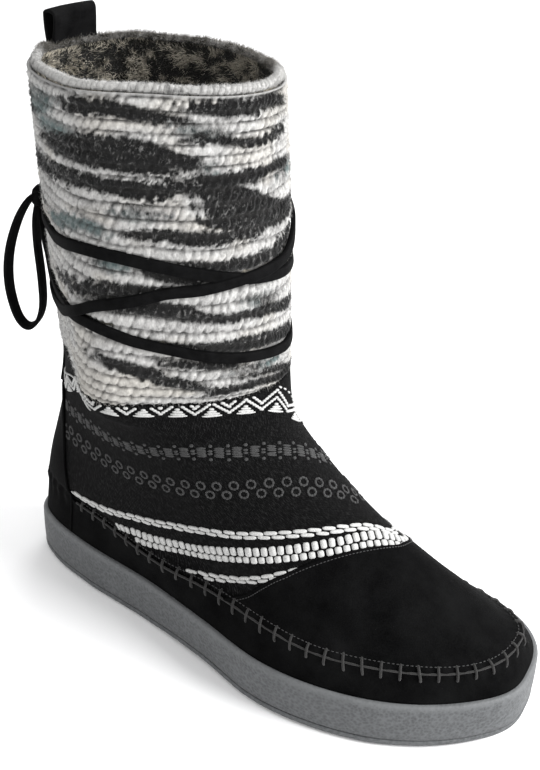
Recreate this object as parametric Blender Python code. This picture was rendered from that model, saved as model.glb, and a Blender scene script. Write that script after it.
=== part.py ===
"""A right-foot pull-on boot: woven foot, knitted shaft, suede overlays, flat sole and a wrapped lace.

The toe points along +X, the wearer's left is +Y and the floor is z = 0. Every piece of the upper is
read from one form, which runs from the feather line at the sole up to the collar. Sizes are metres;
routes and tables count from the back of the heel, and the boot is centred over the origin at the end.
"""
import math

import bmesh
import bpy
import numpy as np
from mathutils import Matrix

# Sole
LENGTH = 0.268            # heel to toe
BALL_WIDTH = 0.102        # across the ball
HEEL_STACK = 0.0270       # floor to the footbed at the heel
TOE_STACK = 0.0262        # floor to the footbed at the toe
TREAD = 0.0045            # thickness of the outsole
TOE_SPRING = 0.0014
HEEL_BEVEL = 0.0010
ARCH_LIFT = 0.0015
EDGE_ROUND = 0.0040       # rounding of the sole's lower edge
SOLE_PROUD = 0.0022       # how far the sole stands out past the upper
LIP = 0.0008              # how far the sole's top edge draws in
PARTING = 0.0010          # height of the bevel at the midsole's lower edge
LAND = 0.0100             # plain rim round the tread pattern
GROOVE_DEPTH = 0.0014
GROOVE_WIDTH = 0.0040
INSOLE = 0.0035           # thickness of the insole
INSOLE_PLAY = 0.0011      # between its edge and the upper

# Upper
HEIGHT = 0.282            # floor to the collar's front
SHAFT_DEPTH = 0.119       # front to back at the collar
SHAFT_BREADTH = 0.098     # side to side
WOVEN_WALL = 0.0024
KNIT_WALL = 0.0045
RIM_ROUND = 0.0010
SUEDE = 0.0012            # thickness of toe cap, foxing and heel panel
OVERLAY_OUT = 0.0006      # how far the suede stands outside the form
SEAM_RIDGE = 0.0009       # how far the moccasin seam is pinched up
SEAM_REACH = 0.0045       # width of that pinch on each side of the seam
PANEL_EDGE = 0.0262       # front edge of the heel panel, from the back of the heel
PANEL_TOP = 0.1120        # its top, above the floor
PANEL_TAPER = 0.0060      # how much narrower it is at the top
GAP = 0.0003              # what lies between two pieces that touch
OVERLAY_BED = SUEDE + GAP - OVERLAY_OUT    # how far inside the form the woven face lies

# Pull loop
LOOP_TURN = 0.560         # its middle, as a share of the way round the collar
LOOP_WIDTH = 0.0235
LOOP_HEIGHT = 0.0145
LOOP_STRAP = 0.0016
LOOP_DEPTH = 0.0050       # outside of one leg to outside of the other

# Lace
LACE_WIDTH = 0.0058
LACE_THICK = 0.0020
LACE_LIFT = 0.0006        # clear of the knit
CORD_RADIUS = 0.0024      # the lace where it hangs free, as a round cord
KNOT_TURN = 0.455         # as a share of the way round
KNOT_UP = 0.702           # as a share of the rise
KNOT_LONG = 0.0130
KNOT_TALL = 0.0100
KNOT_DEEP = 0.0085

COLUMNS = 48
BACK = -0.003             # the sole's rearmost point
RISE = HEIGHT - HEEL_STACK
TAU = 2 * math.pi

# The sole's outline. One row for each station: how far along, as a share of the length, and the half
# widths on the foot's outer and inner side, as shares of the ball's width. Below it, how square the
# ends are.
OUTLINE = np.array([
    [0.00, 0.306, 0.345],
    [0.15, 0.324, 0.350],
    [0.30, 0.353, 0.332],
    [0.44, 0.440, 0.324],
    [0.58, 0.549, 0.382],
    [0.72, 0.571, 0.449],
    [0.86, 0.525, 0.500],
    [1.00, 0.393, 0.530],
])
TOE_SQUARE, HEEL_SQUARE_OUT, HEEL_SQUARE_IN = 2.8, 2.4, 3.6

# The upper's form above the feather line, one row for each section. back and reach are shares of the
# length (reach of the shaft's depth from the joint up), the ups are shares of the rise from footbed
# to collar, and the half widths and the toe's swing to the inside are shares of the ball's width, or
# of the shaft's breadth from the joint up. drop lowers the outer side.
SECTION = ("back", "reach", "back_up", "front_up", "heel_out", "heel_in", "waist_out", "waist_in",
           "ball_out", "ball_in", "toe_square", "square_out", "square_in", "swing", "drop")
SECTIONS = np.array([
    [0.006, 0.951, 0.085, 0.047, 0.279, 0.318, 0.383, 0.304, 0.549, 0.343, 2.40, 2.30, 3.2, 0.088, 0],
    [0.012, 0.919, 0.117, 0.076, 0.325, 0.345, 0.360, 0.333, 0.465, 0.338, 2.20, 2.30, 3.0, 0.020, 0],
    [0.022, 0.833, 0.167, 0.123, 0.337, 0.345, 0.364, 0.343, 0.424, 0.326, 2.10, 2.20, 2.7, -0.020, 0],
    [0.036, 0.708, 0.225, 0.186, 0.346, 0.346, 0.364, 0.353, 0.393, 0.324, 2.00, 2.00, 2.3, -0.033, 0],
    [0.053, 0.574, 0.294, 0.269, 0.343, 0.343, 0.375, 0.373, 0.383, 0.333, 1.95, 1.95, 2.05, -0.049, 0],
    [0.062, 0.474, 0.380, 0.364, 0.349, 0.349, 0.419, 0.391, 0.408, 0.357, 1.90, 1.90, 1.9, -0.052, 0],
    [0.055, 1.003, 0.450, 0.463, 0.400, 0.400, 0.515, 0.446, 0.490, 0.430, 1.80, 1.80, 1.8, -0.010, 0.014],
    [0.040, 1.007, 0.720, 0.730, 0.470, 0.470, 0.523, 0.483, 0.505, 0.480, 1.80, 1.80, 1.8, -0.022, 0],
    [0.024, 0.992, 0.963, 1.000, 0.485, 0.485, 0.484, 0.418, 0.449, 0.413, 1.75, 1.80, 1.8, -0.023, 0],
])
SEAM, JOINT, COLLAR = 1, 7, 9      # the levels of the moccasin seam, of the knit's lower edge, of the rim
HEEL_AT, WAIST_AT = 0.12, 0.40
BALL_AT_OUT, BALL_AT_IN = 0.74, 0.76
JOINT_GAP = 0.0036                 # the level step that opens a gap at the joint

# Levels at which the woven foot and the knitted shaft are sampled
FOOT_LEVELS = (0, 0.3, 0.62, 0.98, 1.02, 1.25, 1.6, 2.0, 2.5, 3.1, 3.8, 4.5, 5.2, 6.0, JOINT - JOINT_GAP)
SHAFT_LEVELS = (JOINT + JOINT_GAP, 7.25, 7.55, 7.85, 8.2, 8.6, 8.96)
CAP_TOP_LEVEL = 5.2
PANEL_TOP_LEVEL = 6.0
CORD_LOWEST = 3                    # the lace hangs above this level

# Throat of the toe cap as seen from the side: along and up, as shares of the length and of the rise
THROAT = ((0.455, -0.02), (0.482, 0.060), (0.520, 0.125), (0.575, 0.178), (0.640, 0.208), (0.715, 0.222),
          (0.80, 0.24))

# Grooves across the tread, as shares of the length
GROOVES = (0.13, 0.21, 0.29, 0.575, 0.645, 0.715, 0.785)

# The lace round the shaft: twice round from the knot downwards, then once round and up to the knot
# again. Each row is a place on the way round and the height over the heel's footbed as a share of the
# rise, in the order in which the lace runs.
WRAP_DOWN = ((0.434, 0.704), (0.400, 0.706), (0.367, 0.706), (0.341, 0.704), (0.312, 0.712),
             (0.284, 0.721), (0.235, 0.725), (0.195, 0.722), (0.150, 0.709), (0.089, 0.692),
             (0.025, 0.682), (-0.055, 0.673), (-0.150, 0.655), (-0.250, 0.632), (-0.350, 0.608),
             (-0.450, 0.590), (-0.540, 0.583), (-0.600, 0.580), (-0.640, 0.579), (-0.675, 0.580),
             (-0.721, 0.590), (-0.751, 0.586), (-0.784, 0.577), (-0.842, 0.559), (-0.885, 0.550),
             (-0.938, 0.540), (-1.007, 0.535), (-1.100, 0.535), (-1.200, 0.540), (-1.300, 0.547),
             (-1.400, 0.550), (-1.500, 0.551))
WRAP_UP = ((0.494, 0.551), (0.460, 0.551), (0.420, 0.552), (0.371, 0.557), (0.341, 0.567),
           (0.300, 0.598), (0.259, 0.629), (0.215, 0.651), (0.175, 0.671), (0.134, 0.682),
           (0.089, 0.692), (0.044, 0.700), (-0.005, 0.716), (-0.056, 0.738), (-0.130, 0.755),
           (-0.220, 0.762), (-0.320, 0.757), (-0.420, 0.738), (-0.490, 0.716), (-0.524, 0.706))
OVER = 0.0009             # how much further out the second stretch lies, which crosses over the first
WRAP_STEPS = (84, 44)

# Routes of the lace's free stretches from the knot: place on the way round, height over the heel's
# footbed as a share of the rise, and distance outside the form
LOOP_OUTER = ((0.452, 0.714, 0.0112), (0.454, 0.700, 0.0132), (0.455, 0.672, 0.0156),
              (0.456, 0.627, 0.0188), (0.456, 0.582, 0.0217), (0.457, 0.527, 0.0234),
              (0.457, 0.485, 0.0236), (0.458, 0.449, 0.0224), (0.458, 0.431, 0.0193),
              (0.457, 0.436, 0.0150), (0.455, 0.466, 0.0112), (0.454, 0.507, 0.0094),
              (0.454, 0.559, 0.0089), (0.454, 0.604, 0.0087), (0.454, 0.646, 0.0087),
              (0.455, 0.671, 0.0086))
LOOP_INNER = ((0.479, 0.722, 0.0062), (0.496, 0.720, 0.0102), (0.524, 0.682, 0.0140),
              (0.545, 0.631, 0.0155), (0.560, 0.561, 0.0155), (0.566, 0.490, 0.0145),
              (0.564, 0.443, 0.0137), (0.556, 0.422, 0.0128), (0.547, 0.443, 0.0122),
              (0.543, 0.502, 0.0119), (0.540, 0.561, 0.0119), (0.534, 0.616, 0.0115),
              (0.516, 0.659, 0.0108), (0.500, 0.688, 0.0090))
END_OUTER = ((0.467, 0.670, 0.0040), (0.480, 0.635, 0.0050), (0.496, 0.600, 0.0064),
             (0.504, 0.561, 0.0066), (0.508, 0.502, 0.0056), (0.510, 0.443, 0.0046),
             (0.510, 0.384, 0.0040), (0.508, 0.333, 0.0038), (0.506, 0.300, 0.0038))
END_INNER = ((0.492, 0.669, 0.0040), (0.508, 0.635, 0.0048), (0.525, 0.600, 0.0058),
             (0.534, 0.561, 0.0058), (0.538, 0.502, 0.0056), (0.541, 0.443, 0.0048),
             (0.543, 0.384, 0.0036), (0.544, 0.345, 0.0031))


def along(turn):
    """How far along the foot a place on the way round lies: 1 at the toe, 0 at the heel."""
    return (1 + np.cos(TAU * np.asarray(turn, float))) / 2


def outside(turn):
    """True on the outer side of the foot, which is the first half of the way round."""
    return np.mod(turn, 1.0) <= 0.5


def ease(share):
    share = np.clip(share, 0, 1)
    return share * share * (3 - 2 * share)


def rounding(share, toe_square, heel_square):
    """Half width's share near the ends: a superellipse of each end's own squareness."""
    power = np.where(share > 0.5, toe_square, heel_square)
    return (1 - np.abs(2 * share - 1) ** power) ** (1 / power)


def through(share, stations, values):
    """A smooth curve through a table's values."""
    slope = np.gradient(values, stations)
    i = np.clip(np.searchsorted(stations, share, side="right") - 1, 0, len(stations) - 2)
    step = stations[i + 1] - stations[i]
    f = (share - stations[i]) / step
    return ((2 * f**3 - 3 * f**2 + 1) * values[i] + (f**3 - 2 * f**2 + f) * step * slope[i]
            + (3 * f**2 - 2 * f**3) * values[i + 1] + (f**3 - f**2) * step * slope[i + 1])


def footbed(x):
    """Height of the sole's top."""
    return HEEL_STACK + (TOE_STACK - HEEL_STACK) * (x - BACK) / LENGTH


def underside(share):
    """Height of the sole's bottom: toe spring, arch and heel bevel, flat between them."""
    toe = TOE_SPRING * np.clip((share - 0.80) / 0.20, 0, 1) ** 2
    heel = HEEL_BEVEL * np.clip((0.10 - share) / 0.10, 0, 1) ** 2
    arch = ARCH_LIFT * np.clip(1 - ((share - 0.43) / 0.11) ** 2, 0, 1)
    return toe + heel + arch


def outline(turn, grow=0.0):
    """x and y of the sole's outline, grown outwards by a distance."""
    share = along(turn)
    column = np.where(outside(turn), through(share, OUTLINE[:, 0], OUTLINE[:, 1]),
                      through(share, OUTLINE[:, 0], OUTLINE[:, 2]))
    side = np.where(outside(turn), -1.0, 1.0)
    half = column * BALL_WIDTH + grow
    y = side * half * rounding(share, TOE_SQUARE, np.where(outside(turn), HEEL_SQUARE_OUT, HEEL_SQUARE_IN))
    x = BACK - grow + (LENGTH + 2 * grow) * share
    return x, y


def section(number, turn):
    """One ring of the upper's form, worked out from its row of the table."""
    row = dict(zip(SECTION, SECTIONS[number - 1]))
    depth, breadth = (SHAFT_DEPTH, SHAFT_BREADTH) if number >= JOINT else (LENGTH, BALL_WIDTH)
    share, outer = along(turn), outside(turn)
    ball_at = np.where(outer, BALL_AT_OUT, BALL_AT_IN)
    waist = np.where(outer, row["waist_out"], row["waist_in"])
    ball = np.where(outer, row["ball_out"], row["ball_in"])
    heel = np.where(outer, row["heel_out"], row["heel_in"])
    behind = heel + (waist - heel) * ease((share - HEEL_AT) / (WAIST_AT - HEEL_AT))
    ahead = waist + (ball - waist) * ease((share - WAIST_AT) / (ball_at - WAIST_AT))
    half = np.where(share < WAIST_AT, behind, ahead)
    bend = rounding(share, row["toe_square"], np.where(outer, row["square_out"], row["square_in"]))
    y = breadth * (np.where(outer, -half, half) * bend
                   + row["swing"] * np.clip((share - WAIST_AT) / (1 - WAIST_AT), 0, 1) ** 1.6)
    x = LENGTH * row["back"] + depth * row["reach"] * share
    drop = np.where(outer, row["drop"] * bend**2, 0)
    up = row["back_up"] + (row["front_up"] - row["back_up"]) * share - drop
    return np.stack([x, y, HEEL_STACK + RISE * up], -1)


def feather(turn):
    """The lowest ring, where the upper meets the sole."""
    x, y = outline(turn, -SOLE_PROUD)
    return np.stack([x, y, footbed(x) + GAP], -1)


def form(level, turn):
    """Point of the upper's form: a smooth curve over the rings at one place on the way round."""
    level, turn = np.broadcast_arrays(np.asarray(level, float), np.asarray(turn, float))
    flat = turn.ravel()
    rings = np.stack([feather(flat)] + [section(n, flat) for n in range(1, COLLAR + 1)])
    low = np.minimum(np.clip(level.ravel(), 0, COLLAR).astype(int), COLLAR - 1)
    f = (np.clip(level.ravel(), 0, COLLAR) - low)[:, None]
    which = np.arange(flat.size)
    b, c = rings[low, which], rings[low + 1, which]
    a = np.where((low == 0)[:, None], 2 * b - c, rings[np.maximum(low - 1, 0), which])
    d = np.where((low == COLLAR - 1)[:, None], 2 * c - b, rings[np.minimum(low + 2, COLLAR), which])
    point = 0.5 * (2 * b + (c - a) * f + (2 * a - 5 * b + 4 * c - d) * f**2 + (3 * b - 3 * c + d - a) * f**3)
    return point.reshape(level.shape + (3,))


def outward(level, turn):
    """Unit normal of the form."""
    up = form(np.minimum(level + 0.01, COLLAR), turn) - form(np.maximum(level - 0.01, 0), turn)
    across = form(level, turn + 0.002) - form(level, turn - 0.002)
    normal = np.cross(up, across)
    return normal / np.linalg.norm(normal, axis=-1, keepdims=True)


def skin(level, turn, out):
    """Point at a distance outside the form."""
    level, turn, out = np.broadcast_arrays(level, turn, out)
    return form(level, turn) + outward(level, turn) * out[..., None]


def material(name, colour, roughness):
    made = bpy.data.materials.new(name)
    made.use_nodes = True
    shader = made.node_tree.nodes["Principled BSDF"]
    shader.inputs["Base Color"].default_value = (*colour, 1.0)
    shader.inputs["Roughness"].default_value = roughness
    shader.inputs["Metallic"].default_value = 0.0
    return made


def add_mesh(name, points, faces, finish, smooth=True):
    mesh = bpy.data.meshes.new(name)
    mesh.from_pydata([tuple(p) for p in np.asarray(points, float).reshape(-1, 3)], [], faces)
    mesh.validate()
    shape = bmesh.new()
    shape.from_mesh(mesh)
    bmesh.ops.remove_doubles(shape, verts=shape.verts, dist=1e-6)
    bmesh.ops.recalc_face_normals(shape, faces=shape.faces)
    bmesh.ops.triangulate(shape, faces=shape.faces)
    shape.to_mesh(mesh)
    shape.free()
    if smooth:
        mesh.shade_smooth()
        mesh.set_sharp_from_angle(angle=math.radians(40))
    piece = bpy.data.objects.new(name, mesh)
    piece.data.materials.append(finish)
    bpy.context.collection.objects.link(piece)
    return piece


def grid_faces(rows, columns, closed_across, start=0):
    """Triangles between the rows of a grid, always split along the same diagonal."""
    faces = []
    for i in range(rows - 1):
        for j in range(columns if closed_across else columns - 1):
            k = (j + 1) % columns
            a, b = start + i * columns + j, start + i * columns + k
            c, d = start + (i + 1) * columns + k, start + (i + 1) * columns + j
            faces += [(a, b, c), (a, c, d)]
    return faces


def shell(name, outer, inner, finish, closed):
    """Solid wall between two grids of one shape, closed round the way round or cut at both ends."""
    rows, columns = outer.shape[:2]
    count = rows * columns
    faces = grid_faces(rows, columns, closed) + [f[::-1] for f in grid_faces(rows, columns, closed, count)]
    for row in (0, rows - 1):
        for j in range(columns if closed else columns - 1):
            a, b = row * columns + j, row * columns + (j + 1) % columns
            faces.append((a, count + a, count + b, b) if row == 0 else (a, b, count + b, count + a))
    if not closed:
        for column in (0, columns - 1):
            for i in range(rows - 1):
                a, b = i * columns + column, (i + 1) * columns + column
                faces.append((a, b, count + b, count + a) if column == 0 else (a, count + a, count + b, b))
    points = np.concatenate([outer.reshape(-1, 3), inner.reshape(-1, 3)])
    return add_mesh(name, points, faces, finish)


def prism(name, side_view, y_low, y_high):
    """Cutter with an outline in the side view, run across the boot."""
    count = len(side_view)
    points = [(x, y, z) for y in (y_low, y_high) for x, z in side_view]
    faces = [tuple(range(count)), tuple(range(2 * count - 1, count - 1, -1))]
    faces += [(i, count + i, count + (i + 1) % count, (i + 1) % count) for i in range(count)]
    cutter = add_mesh(name, points, faces, bpy.data.materials["suede"], smooth=False)
    cutter.hide_render = True
    cutter.display_type = "WIRE"
    return cutter


def keep_inside(piece, cutter):
    cut = piece.modifiers.new("cut", "BOOLEAN")
    cut.operation = "INTERSECT"
    cut.object = cutter
    cut.solver = "EXACT"


def round_turns():
    return np.arange(COLUMNS) / COLUMNS


def sole_layer(name, turns, rings, finish):
    """Solid lofted through rings of the sole's outline, with strips across its bottom and top."""
    columns = len(turns)
    points = np.concatenate([np.stack(ring, -1) for ring in rings])
    faces = grid_faces(len(rings), columns, True)
    half = columns // 2
    top = (len(rings) - 1) * columns
    for i in range(half):
        j, k = (columns - i) % columns, columns - i - 1
        faces.append((i, i + 1, k, j))
        faces.append((top + j, top + k, top + i + 1, top + i))
    faces = [tuple(dict.fromkeys(face)) for face in faces]
    return add_mesh(name, points, faces, finish)


def groove_depth(share):
    depth = np.zeros_like(share)
    for place in GROOVES:
        reach = GROOVE_WIDTH / 2 / LENGTH
        depth = np.maximum(depth, GROOVE_DEPTH * np.clip(1 - np.abs(share - place) / reach, 0, 1))
    return depth


def make_sole():
    rubber = material("rubber_grey", (0.155, 0.16, 0.165), 0.75)
    plain = round_turns()
    reach = GROOVE_WIDTH / 2 / LENGTH
    shares = [place + step for place in GROOVES for step in (-reach, 0, reach)]
    extra = np.arccos(2 * np.array(shares) - 1) / TAU
    base = plain[plain <= 0.5]
    near = np.abs(base[:, None] - extra[None]).min(axis=1) < 0.004
    half = np.sort(np.concatenate([base[~near | (base == 0) | (base == 0.5)], extra]))
    turns = np.concatenate([half, 1 - half[-2:0:-1]])
    share = along(turns)

    def ring(places, grow, height):
        return *outline(places, grow), height

    bottom = underside(share)
    sole_layer("outsole", turns, [
        ring(turns, -LAND - GROOVE_DEPTH, bottom + groove_depth(share)),
        ring(turns, -LAND, bottom),
        ring(turns, -EDGE_ROUND, bottom),
        ring(turns, -0.3 * EDGE_ROUND, bottom + 0.3 * EDGE_ROUND),
        ring(turns, 0, bottom + 0.8 * EDGE_ROUND),
        ring(turns, 0, bottom + TREAD),
    ], rubber)
    bottom = underside(along(plain)) + TREAD + GAP
    top = footbed(outline(plain)[0])
    sole_layer("midsole", plain, [
        ring(plain, -PARTING / 2, bottom),
        ring(plain, 0, bottom + PARTING),
        ring(plain, 0, top - 2 * LIP),
        ring(plain, -LIP, top - 0.3 * LIP),
        ring(plain, -2 * LIP, top),
    ], rubber)


def foot_wall(levels):
    """Outer and inner faces of the woven foot, which ends level on the footbed."""
    levels, turns = np.array(levels)[:, None], round_turns()[None]
    walls = skin(levels, turns, -OVERLAY_BED), skin(levels, turns, -OVERLAY_BED - WOVEN_WALL)
    for wall in walls:
        wall[0, :, 2] = footbed(wall[0, :, 0]) + GAP
    return walls


def make_insole():
    felt = material("insole_felt", (0.03, 0.03, 0.032), 0.95)
    inner = foot_wall(FOOT_LEVELS[:4])[1]
    inset = outward(np.zeros(COLUMNS), round_turns())[:, :2]
    inset *= INSOLE_PLAY / np.linalg.norm(inset, axis=-1, keepdims=True)

    def ring(above):
        place = [[np.interp(column[0, 2] + above, column[:, 2], column[:, axis])
                  for column in inner.swapaxes(0, 1)] for axis in (0, 1)]
        x, y = np.array(place) - inset.T
        return x, y, footbed(x) + GAP + above

    sole_layer("insole", round_turns(), [ring(0), ring(INSOLE)], felt)


def make_upper():
    woven = material("woven_black", (0.012, 0.012, 0.013), 0.92)
    knit = material("knit_melange", (0.32, 0.32, 0.31), 0.95)
    shell("upper", *foot_wall(FOOT_LEVELS), woven, True)
    turns = round_turns()[None]
    levels = np.array(SHAFT_LEVELS)[:, None]
    rim = np.array([COLLAR])[:, None]
    outer = np.concatenate([skin(levels, turns, 0.0), skin(rim, turns, -RIM_ROUND)])
    inner = np.concatenate([skin(levels, turns, -KNIT_WALL), skin(rim, turns, RIM_ROUND - KNIT_WALL)])
    shell("shaft", outer, inner, knit, True)


def overlay(name, levels, finish):
    """Suede wall over the woven foot, pinched up beside the moccasin seam."""
    levels = np.array(levels)[:, None]
    turns = round_turns()[None]
    middle = form(np.full_like(levels, SEAM), turns)
    away = np.linalg.norm(form(levels, turns) - middle, axis=-1)
    ridge = SEAM_RIDGE * np.clip(1 - away / SEAM_REACH, 0, 1)
    outer = skin(levels, turns, OVERLAY_OUT + ridge)
    inner = skin(levels, turns, np.full(away.shape, OVERLAY_OUT - SUEDE))
    if levels[0] == 0:
        for wall in (outer, inner):
            wall[0, :, 2] = footbed(wall[0, :, 0]) + GAP
    return shell(name, outer, inner, finish, True)


def make_overlays():
    suede = material("suede", (0.008, 0.008, 0.009), 0.95)
    edge = BACK + PANEL_EDGE
    top = HEIGHT
    wide = BALL_WIDTH
    cap = overlay("toe_cap", [v for v in FOOT_LEVELS if SEAM < v <= CAP_TOP_LEVEL], suede)
    throat = [(LENGTH * a, HEEL_STACK + RISE * b) for a, b in THROAT]
    front = LENGTH + 0.05
    throat += [(front, throat[-1][1]), (front, throat[0][1])]
    keep_inside(cap, prism("cap_cutter", throat, -wide, wide))
    foxing = overlay("foxing", [v for v in FOOT_LEVELS if v < SEAM], suede)
    ahead = [(edge + GAP / 2, -0.01), (front, -0.01), (front, top), (edge + GAP / 2, top)]
    keep_inside(foxing, prism("foxing_cutter", ahead, -wide, wide))
    panel = overlay("heel_panel", [v for v in FOOT_LEVELS if v <= PANEL_TOP_LEVEL], suede)
    behind = [(-front, -0.01), (edge - GAP / 2, -0.01), (edge - GAP / 2, PANEL_TOP / 2),
              (edge - PANEL_TAPER, PANEL_TOP), (-front, PANEL_TOP)]
    keep_inside(panel, prism("panel_cutter", behind, -wide, wide))


def make_pull_loop():
    webbing = material("webbing_black", (0.01, 0.01, 0.011), 0.9)
    steps, bends = 7, 8
    wall = np.linspace(-0.5, 0.5, steps)
    rim = form(np.array([COLLAR, COLLAR]), np.array([LOOP_TURN - 0.01, LOOP_TURN + 0.01]))
    per_turn = np.linalg.norm(rim[1] - rim[0]) / 0.02
    turns = LOOP_TURN + wall * LOOP_WIDTH / per_turn
    base = form(np.full(steps, COLLAR), turns)
    away = outward(np.full(steps, COLLAR), turns) * np.array([1, 1, 0])
    away /= np.linalg.norm(away, axis=-1, keepdims=True)
    bend = np.linspace(0, math.pi, bends)

    def section_line(radius):
        """Up one leg, over the fold and down the other, as out and up from the rim's middle."""
        crown = LOOP_HEIGHT - LOOP_DEPTH / 2
        out = np.concatenate([[radius], radius * np.cos(bend), [-radius]])
        up = np.concatenate([[2 * GAP], crown + radius * np.sin(bend), [2 * GAP]])
        return out - KNIT_WALL / 2, up

    def sheet(radius):
        out, up = section_line(radius)
        flat = base[None] + out[:, None, None] * away[None]
        flat[..., 2] = base[None, :, 2] + up[:, None]
        return flat

    shell("pull_loop", sheet(LOOP_DEPTH / 2), sheet(LOOP_DEPTH / 2 - LOOP_STRAP), webbing, False)


def level_at(turn, up):
    """Level of the form at a height, which is given as a share of the rise."""
    lines = np.linspace(CORD_LOWEST, COLLAR, 61)
    heights = (form(lines[:, None], np.atleast_1d(turn)[None])[..., 2] - HEEL_STACK) / RISE
    return np.array([np.interp(h, heights[:, i], lines) for i, h in enumerate(np.atleast_1d(up))])


def smooth_line(points, count):
    """Points at even steps on a smooth curve through a route's own points."""
    points = np.array(points, float)
    at = np.concatenate([[0], np.cumsum(np.linalg.norm(np.diff(points, axis=0), axis=1))])
    place = np.linspace(0, at[-1], count)
    return np.stack([through(place, at, points[:, i]) for i in range(points.shape[1])], -1)


def lace_stretch(name, route, out, steps, finish):
    """A stretch of the flat lace: a band that lies on the knit."""
    line = smooth_line(route, steps)
    turn, up = line.T
    low = level_at(turn, up - LACE_WIDTH / 2 / RISE)
    high = level_at(turn, up + LACE_WIDTH / 2 / RISE)
    inner = np.stack([skin(level, turn, LACE_LIFT + out) for level in (low, high)])
    outer = np.stack([skin(level, turn, LACE_LIFT + out + LACE_THICK) for level in (low, high)])
    return shell(name, outer, inner, finish, False)


def make_wrap_lace():
    """The wrapped lace, its two stretches joined where they cross."""
    lace = material("suede_lace", (0.01, 0.01, 0.011), 0.9)
    under = lace_stretch("wrap_lace", WRAP_DOWN, 0.0, WRAP_STEPS[0], lace)
    over = lace_stretch("lace_over", WRAP_UP, OVER, WRAP_STEPS[1], lace)
    over.hide_render = True
    over.display_type = "WIRE"
    join = under.modifiers.new("join", "BOOLEAN")
    join.operation = "UNION"
    join.object = over
    join.solver = "EXACT"


def make_knot():
    """The bow's knot, a rounded lump against the back of the shaft."""
    level = level_at(KNOT_TURN, KNOT_UP)
    turn = np.array([KNOT_TURN])
    away = outward(level, turn)[0]
    side = np.cross((0, 0, 1), away)
    side /= np.linalg.norm(side)
    up = np.cross(away, side)
    centre = skin(level, turn, np.array([LACE_LIFT + KNOT_DEEP / 2]))[0]
    shape = bmesh.new()
    bmesh.ops.create_uvsphere(shape, u_segments=12, v_segments=8, radius=0.5)
    for vert in shape.verts:
        x, y, z = vert.co
        vert.co = centre + away * x * KNOT_DEEP + side * y * KNOT_LONG + up * z * KNOT_TALL
    mesh = bpy.data.meshes.new("lace_knot")
    shape.to_mesh(mesh)
    shape.free()
    mesh.shade_smooth()
    knot = bpy.data.objects.new("lace_knot", mesh)
    knot.data.materials.append(bpy.data.materials["suede_lace"])
    bpy.context.collection.objects.link(knot)


def make_cord(name, route, count):
    curve = bpy.data.curves.new(name, "CURVE")
    curve.dimensions = "3D"
    curve.bevel_depth = CORD_RADIUS
    curve.bevel_resolution = 2
    curve.use_fill_caps = True
    spline = curve.splines.new("POLY")
    turn, up, out = np.array(route).T
    line = smooth_line(skin(level_at(turn, up), turn, out), count)
    spline.points.add(count - 1)
    spline.points.foreach_set("co", np.column_stack([line, np.ones(count)]).ravel())
    cord = bpy.data.objects.new(name, curve)
    cord.data.materials.append(bpy.data.materials["suede_lace"])
    bpy.context.collection.objects.link(cord)


def centre_boot():
    """Move everything so that the origin lies on the floor under the middle of the boot's box, which the
    sole and the wrapped lace bound."""
    bounding = [bpy.data.objects[name] for name in ("outsole", "wrap_lace", "lace_over")]
    corners = np.array([vert.co for piece in bounding for vert in piece.data.vertices])
    middle = (corners.min(axis=0) + corners.max(axis=0)) / 2
    for piece in bpy.data.objects:
        piece.data.transform(Matrix.Translation((-middle[0], -middle[1], 0)))


def main():
    for old in list(bpy.data.objects):
        bpy.data.objects.remove(old, do_unlink=True)
    make_sole()
    make_insole()
    make_upper()
    make_overlays()
    make_pull_loop()
    make_wrap_lace()
    make_knot()
    make_cord("lace_loop_outer", LOOP_OUTER, 26)
    make_cord("lace_loop_inner", LOOP_INNER, 26)
    make_cord("lace_end_outer", END_OUTER, 14)
    make_cord("lace_end_inner", END_INNER, 14)
    centre_boot()


main()
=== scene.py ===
"""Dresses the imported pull-on boot in its real surfaces.

The sole is pebbled rubber, the foot is woven cloth with thread stripes under suede overlays, the shaft is
a space-dyed knit lined with sheared pile, and a flat suede lace is wrapped round it and tied behind the
ankle. Everything on the upper is read from one form: level runs from the sole's feather line up to the
collar, and turn runs once round from the toe over the outer side and the heel. All lengths are metres.
"""
import math

import bpy
import numpy as np
from mathutils import Matrix, Vector


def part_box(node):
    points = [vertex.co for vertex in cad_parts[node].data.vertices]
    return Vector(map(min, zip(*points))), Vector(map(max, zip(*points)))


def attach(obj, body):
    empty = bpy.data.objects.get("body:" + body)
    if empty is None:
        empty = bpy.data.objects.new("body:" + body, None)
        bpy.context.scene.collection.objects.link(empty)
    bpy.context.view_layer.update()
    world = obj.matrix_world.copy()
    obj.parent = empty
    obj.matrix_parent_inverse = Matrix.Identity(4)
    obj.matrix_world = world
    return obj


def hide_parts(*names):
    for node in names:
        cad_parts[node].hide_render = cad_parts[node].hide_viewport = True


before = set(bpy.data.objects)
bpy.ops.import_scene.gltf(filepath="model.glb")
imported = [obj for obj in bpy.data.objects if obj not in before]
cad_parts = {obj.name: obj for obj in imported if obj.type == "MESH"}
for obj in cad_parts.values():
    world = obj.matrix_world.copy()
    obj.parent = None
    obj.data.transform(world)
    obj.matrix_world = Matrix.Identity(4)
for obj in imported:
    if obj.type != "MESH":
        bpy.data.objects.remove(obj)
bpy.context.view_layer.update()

bl_info = {
    "name": "Knitted pull-on boot",
    "version": (1, 0, 0),
    "blender": (4, 5, 0),
    "location": "View3D > Sidebar > Boot",
    "description": "Builds the visible surfaces of a knitted pull-on boot round its solid model",
    "category": "Object",
}

TAU = 2 * math.pi
BODY = "root"

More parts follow.
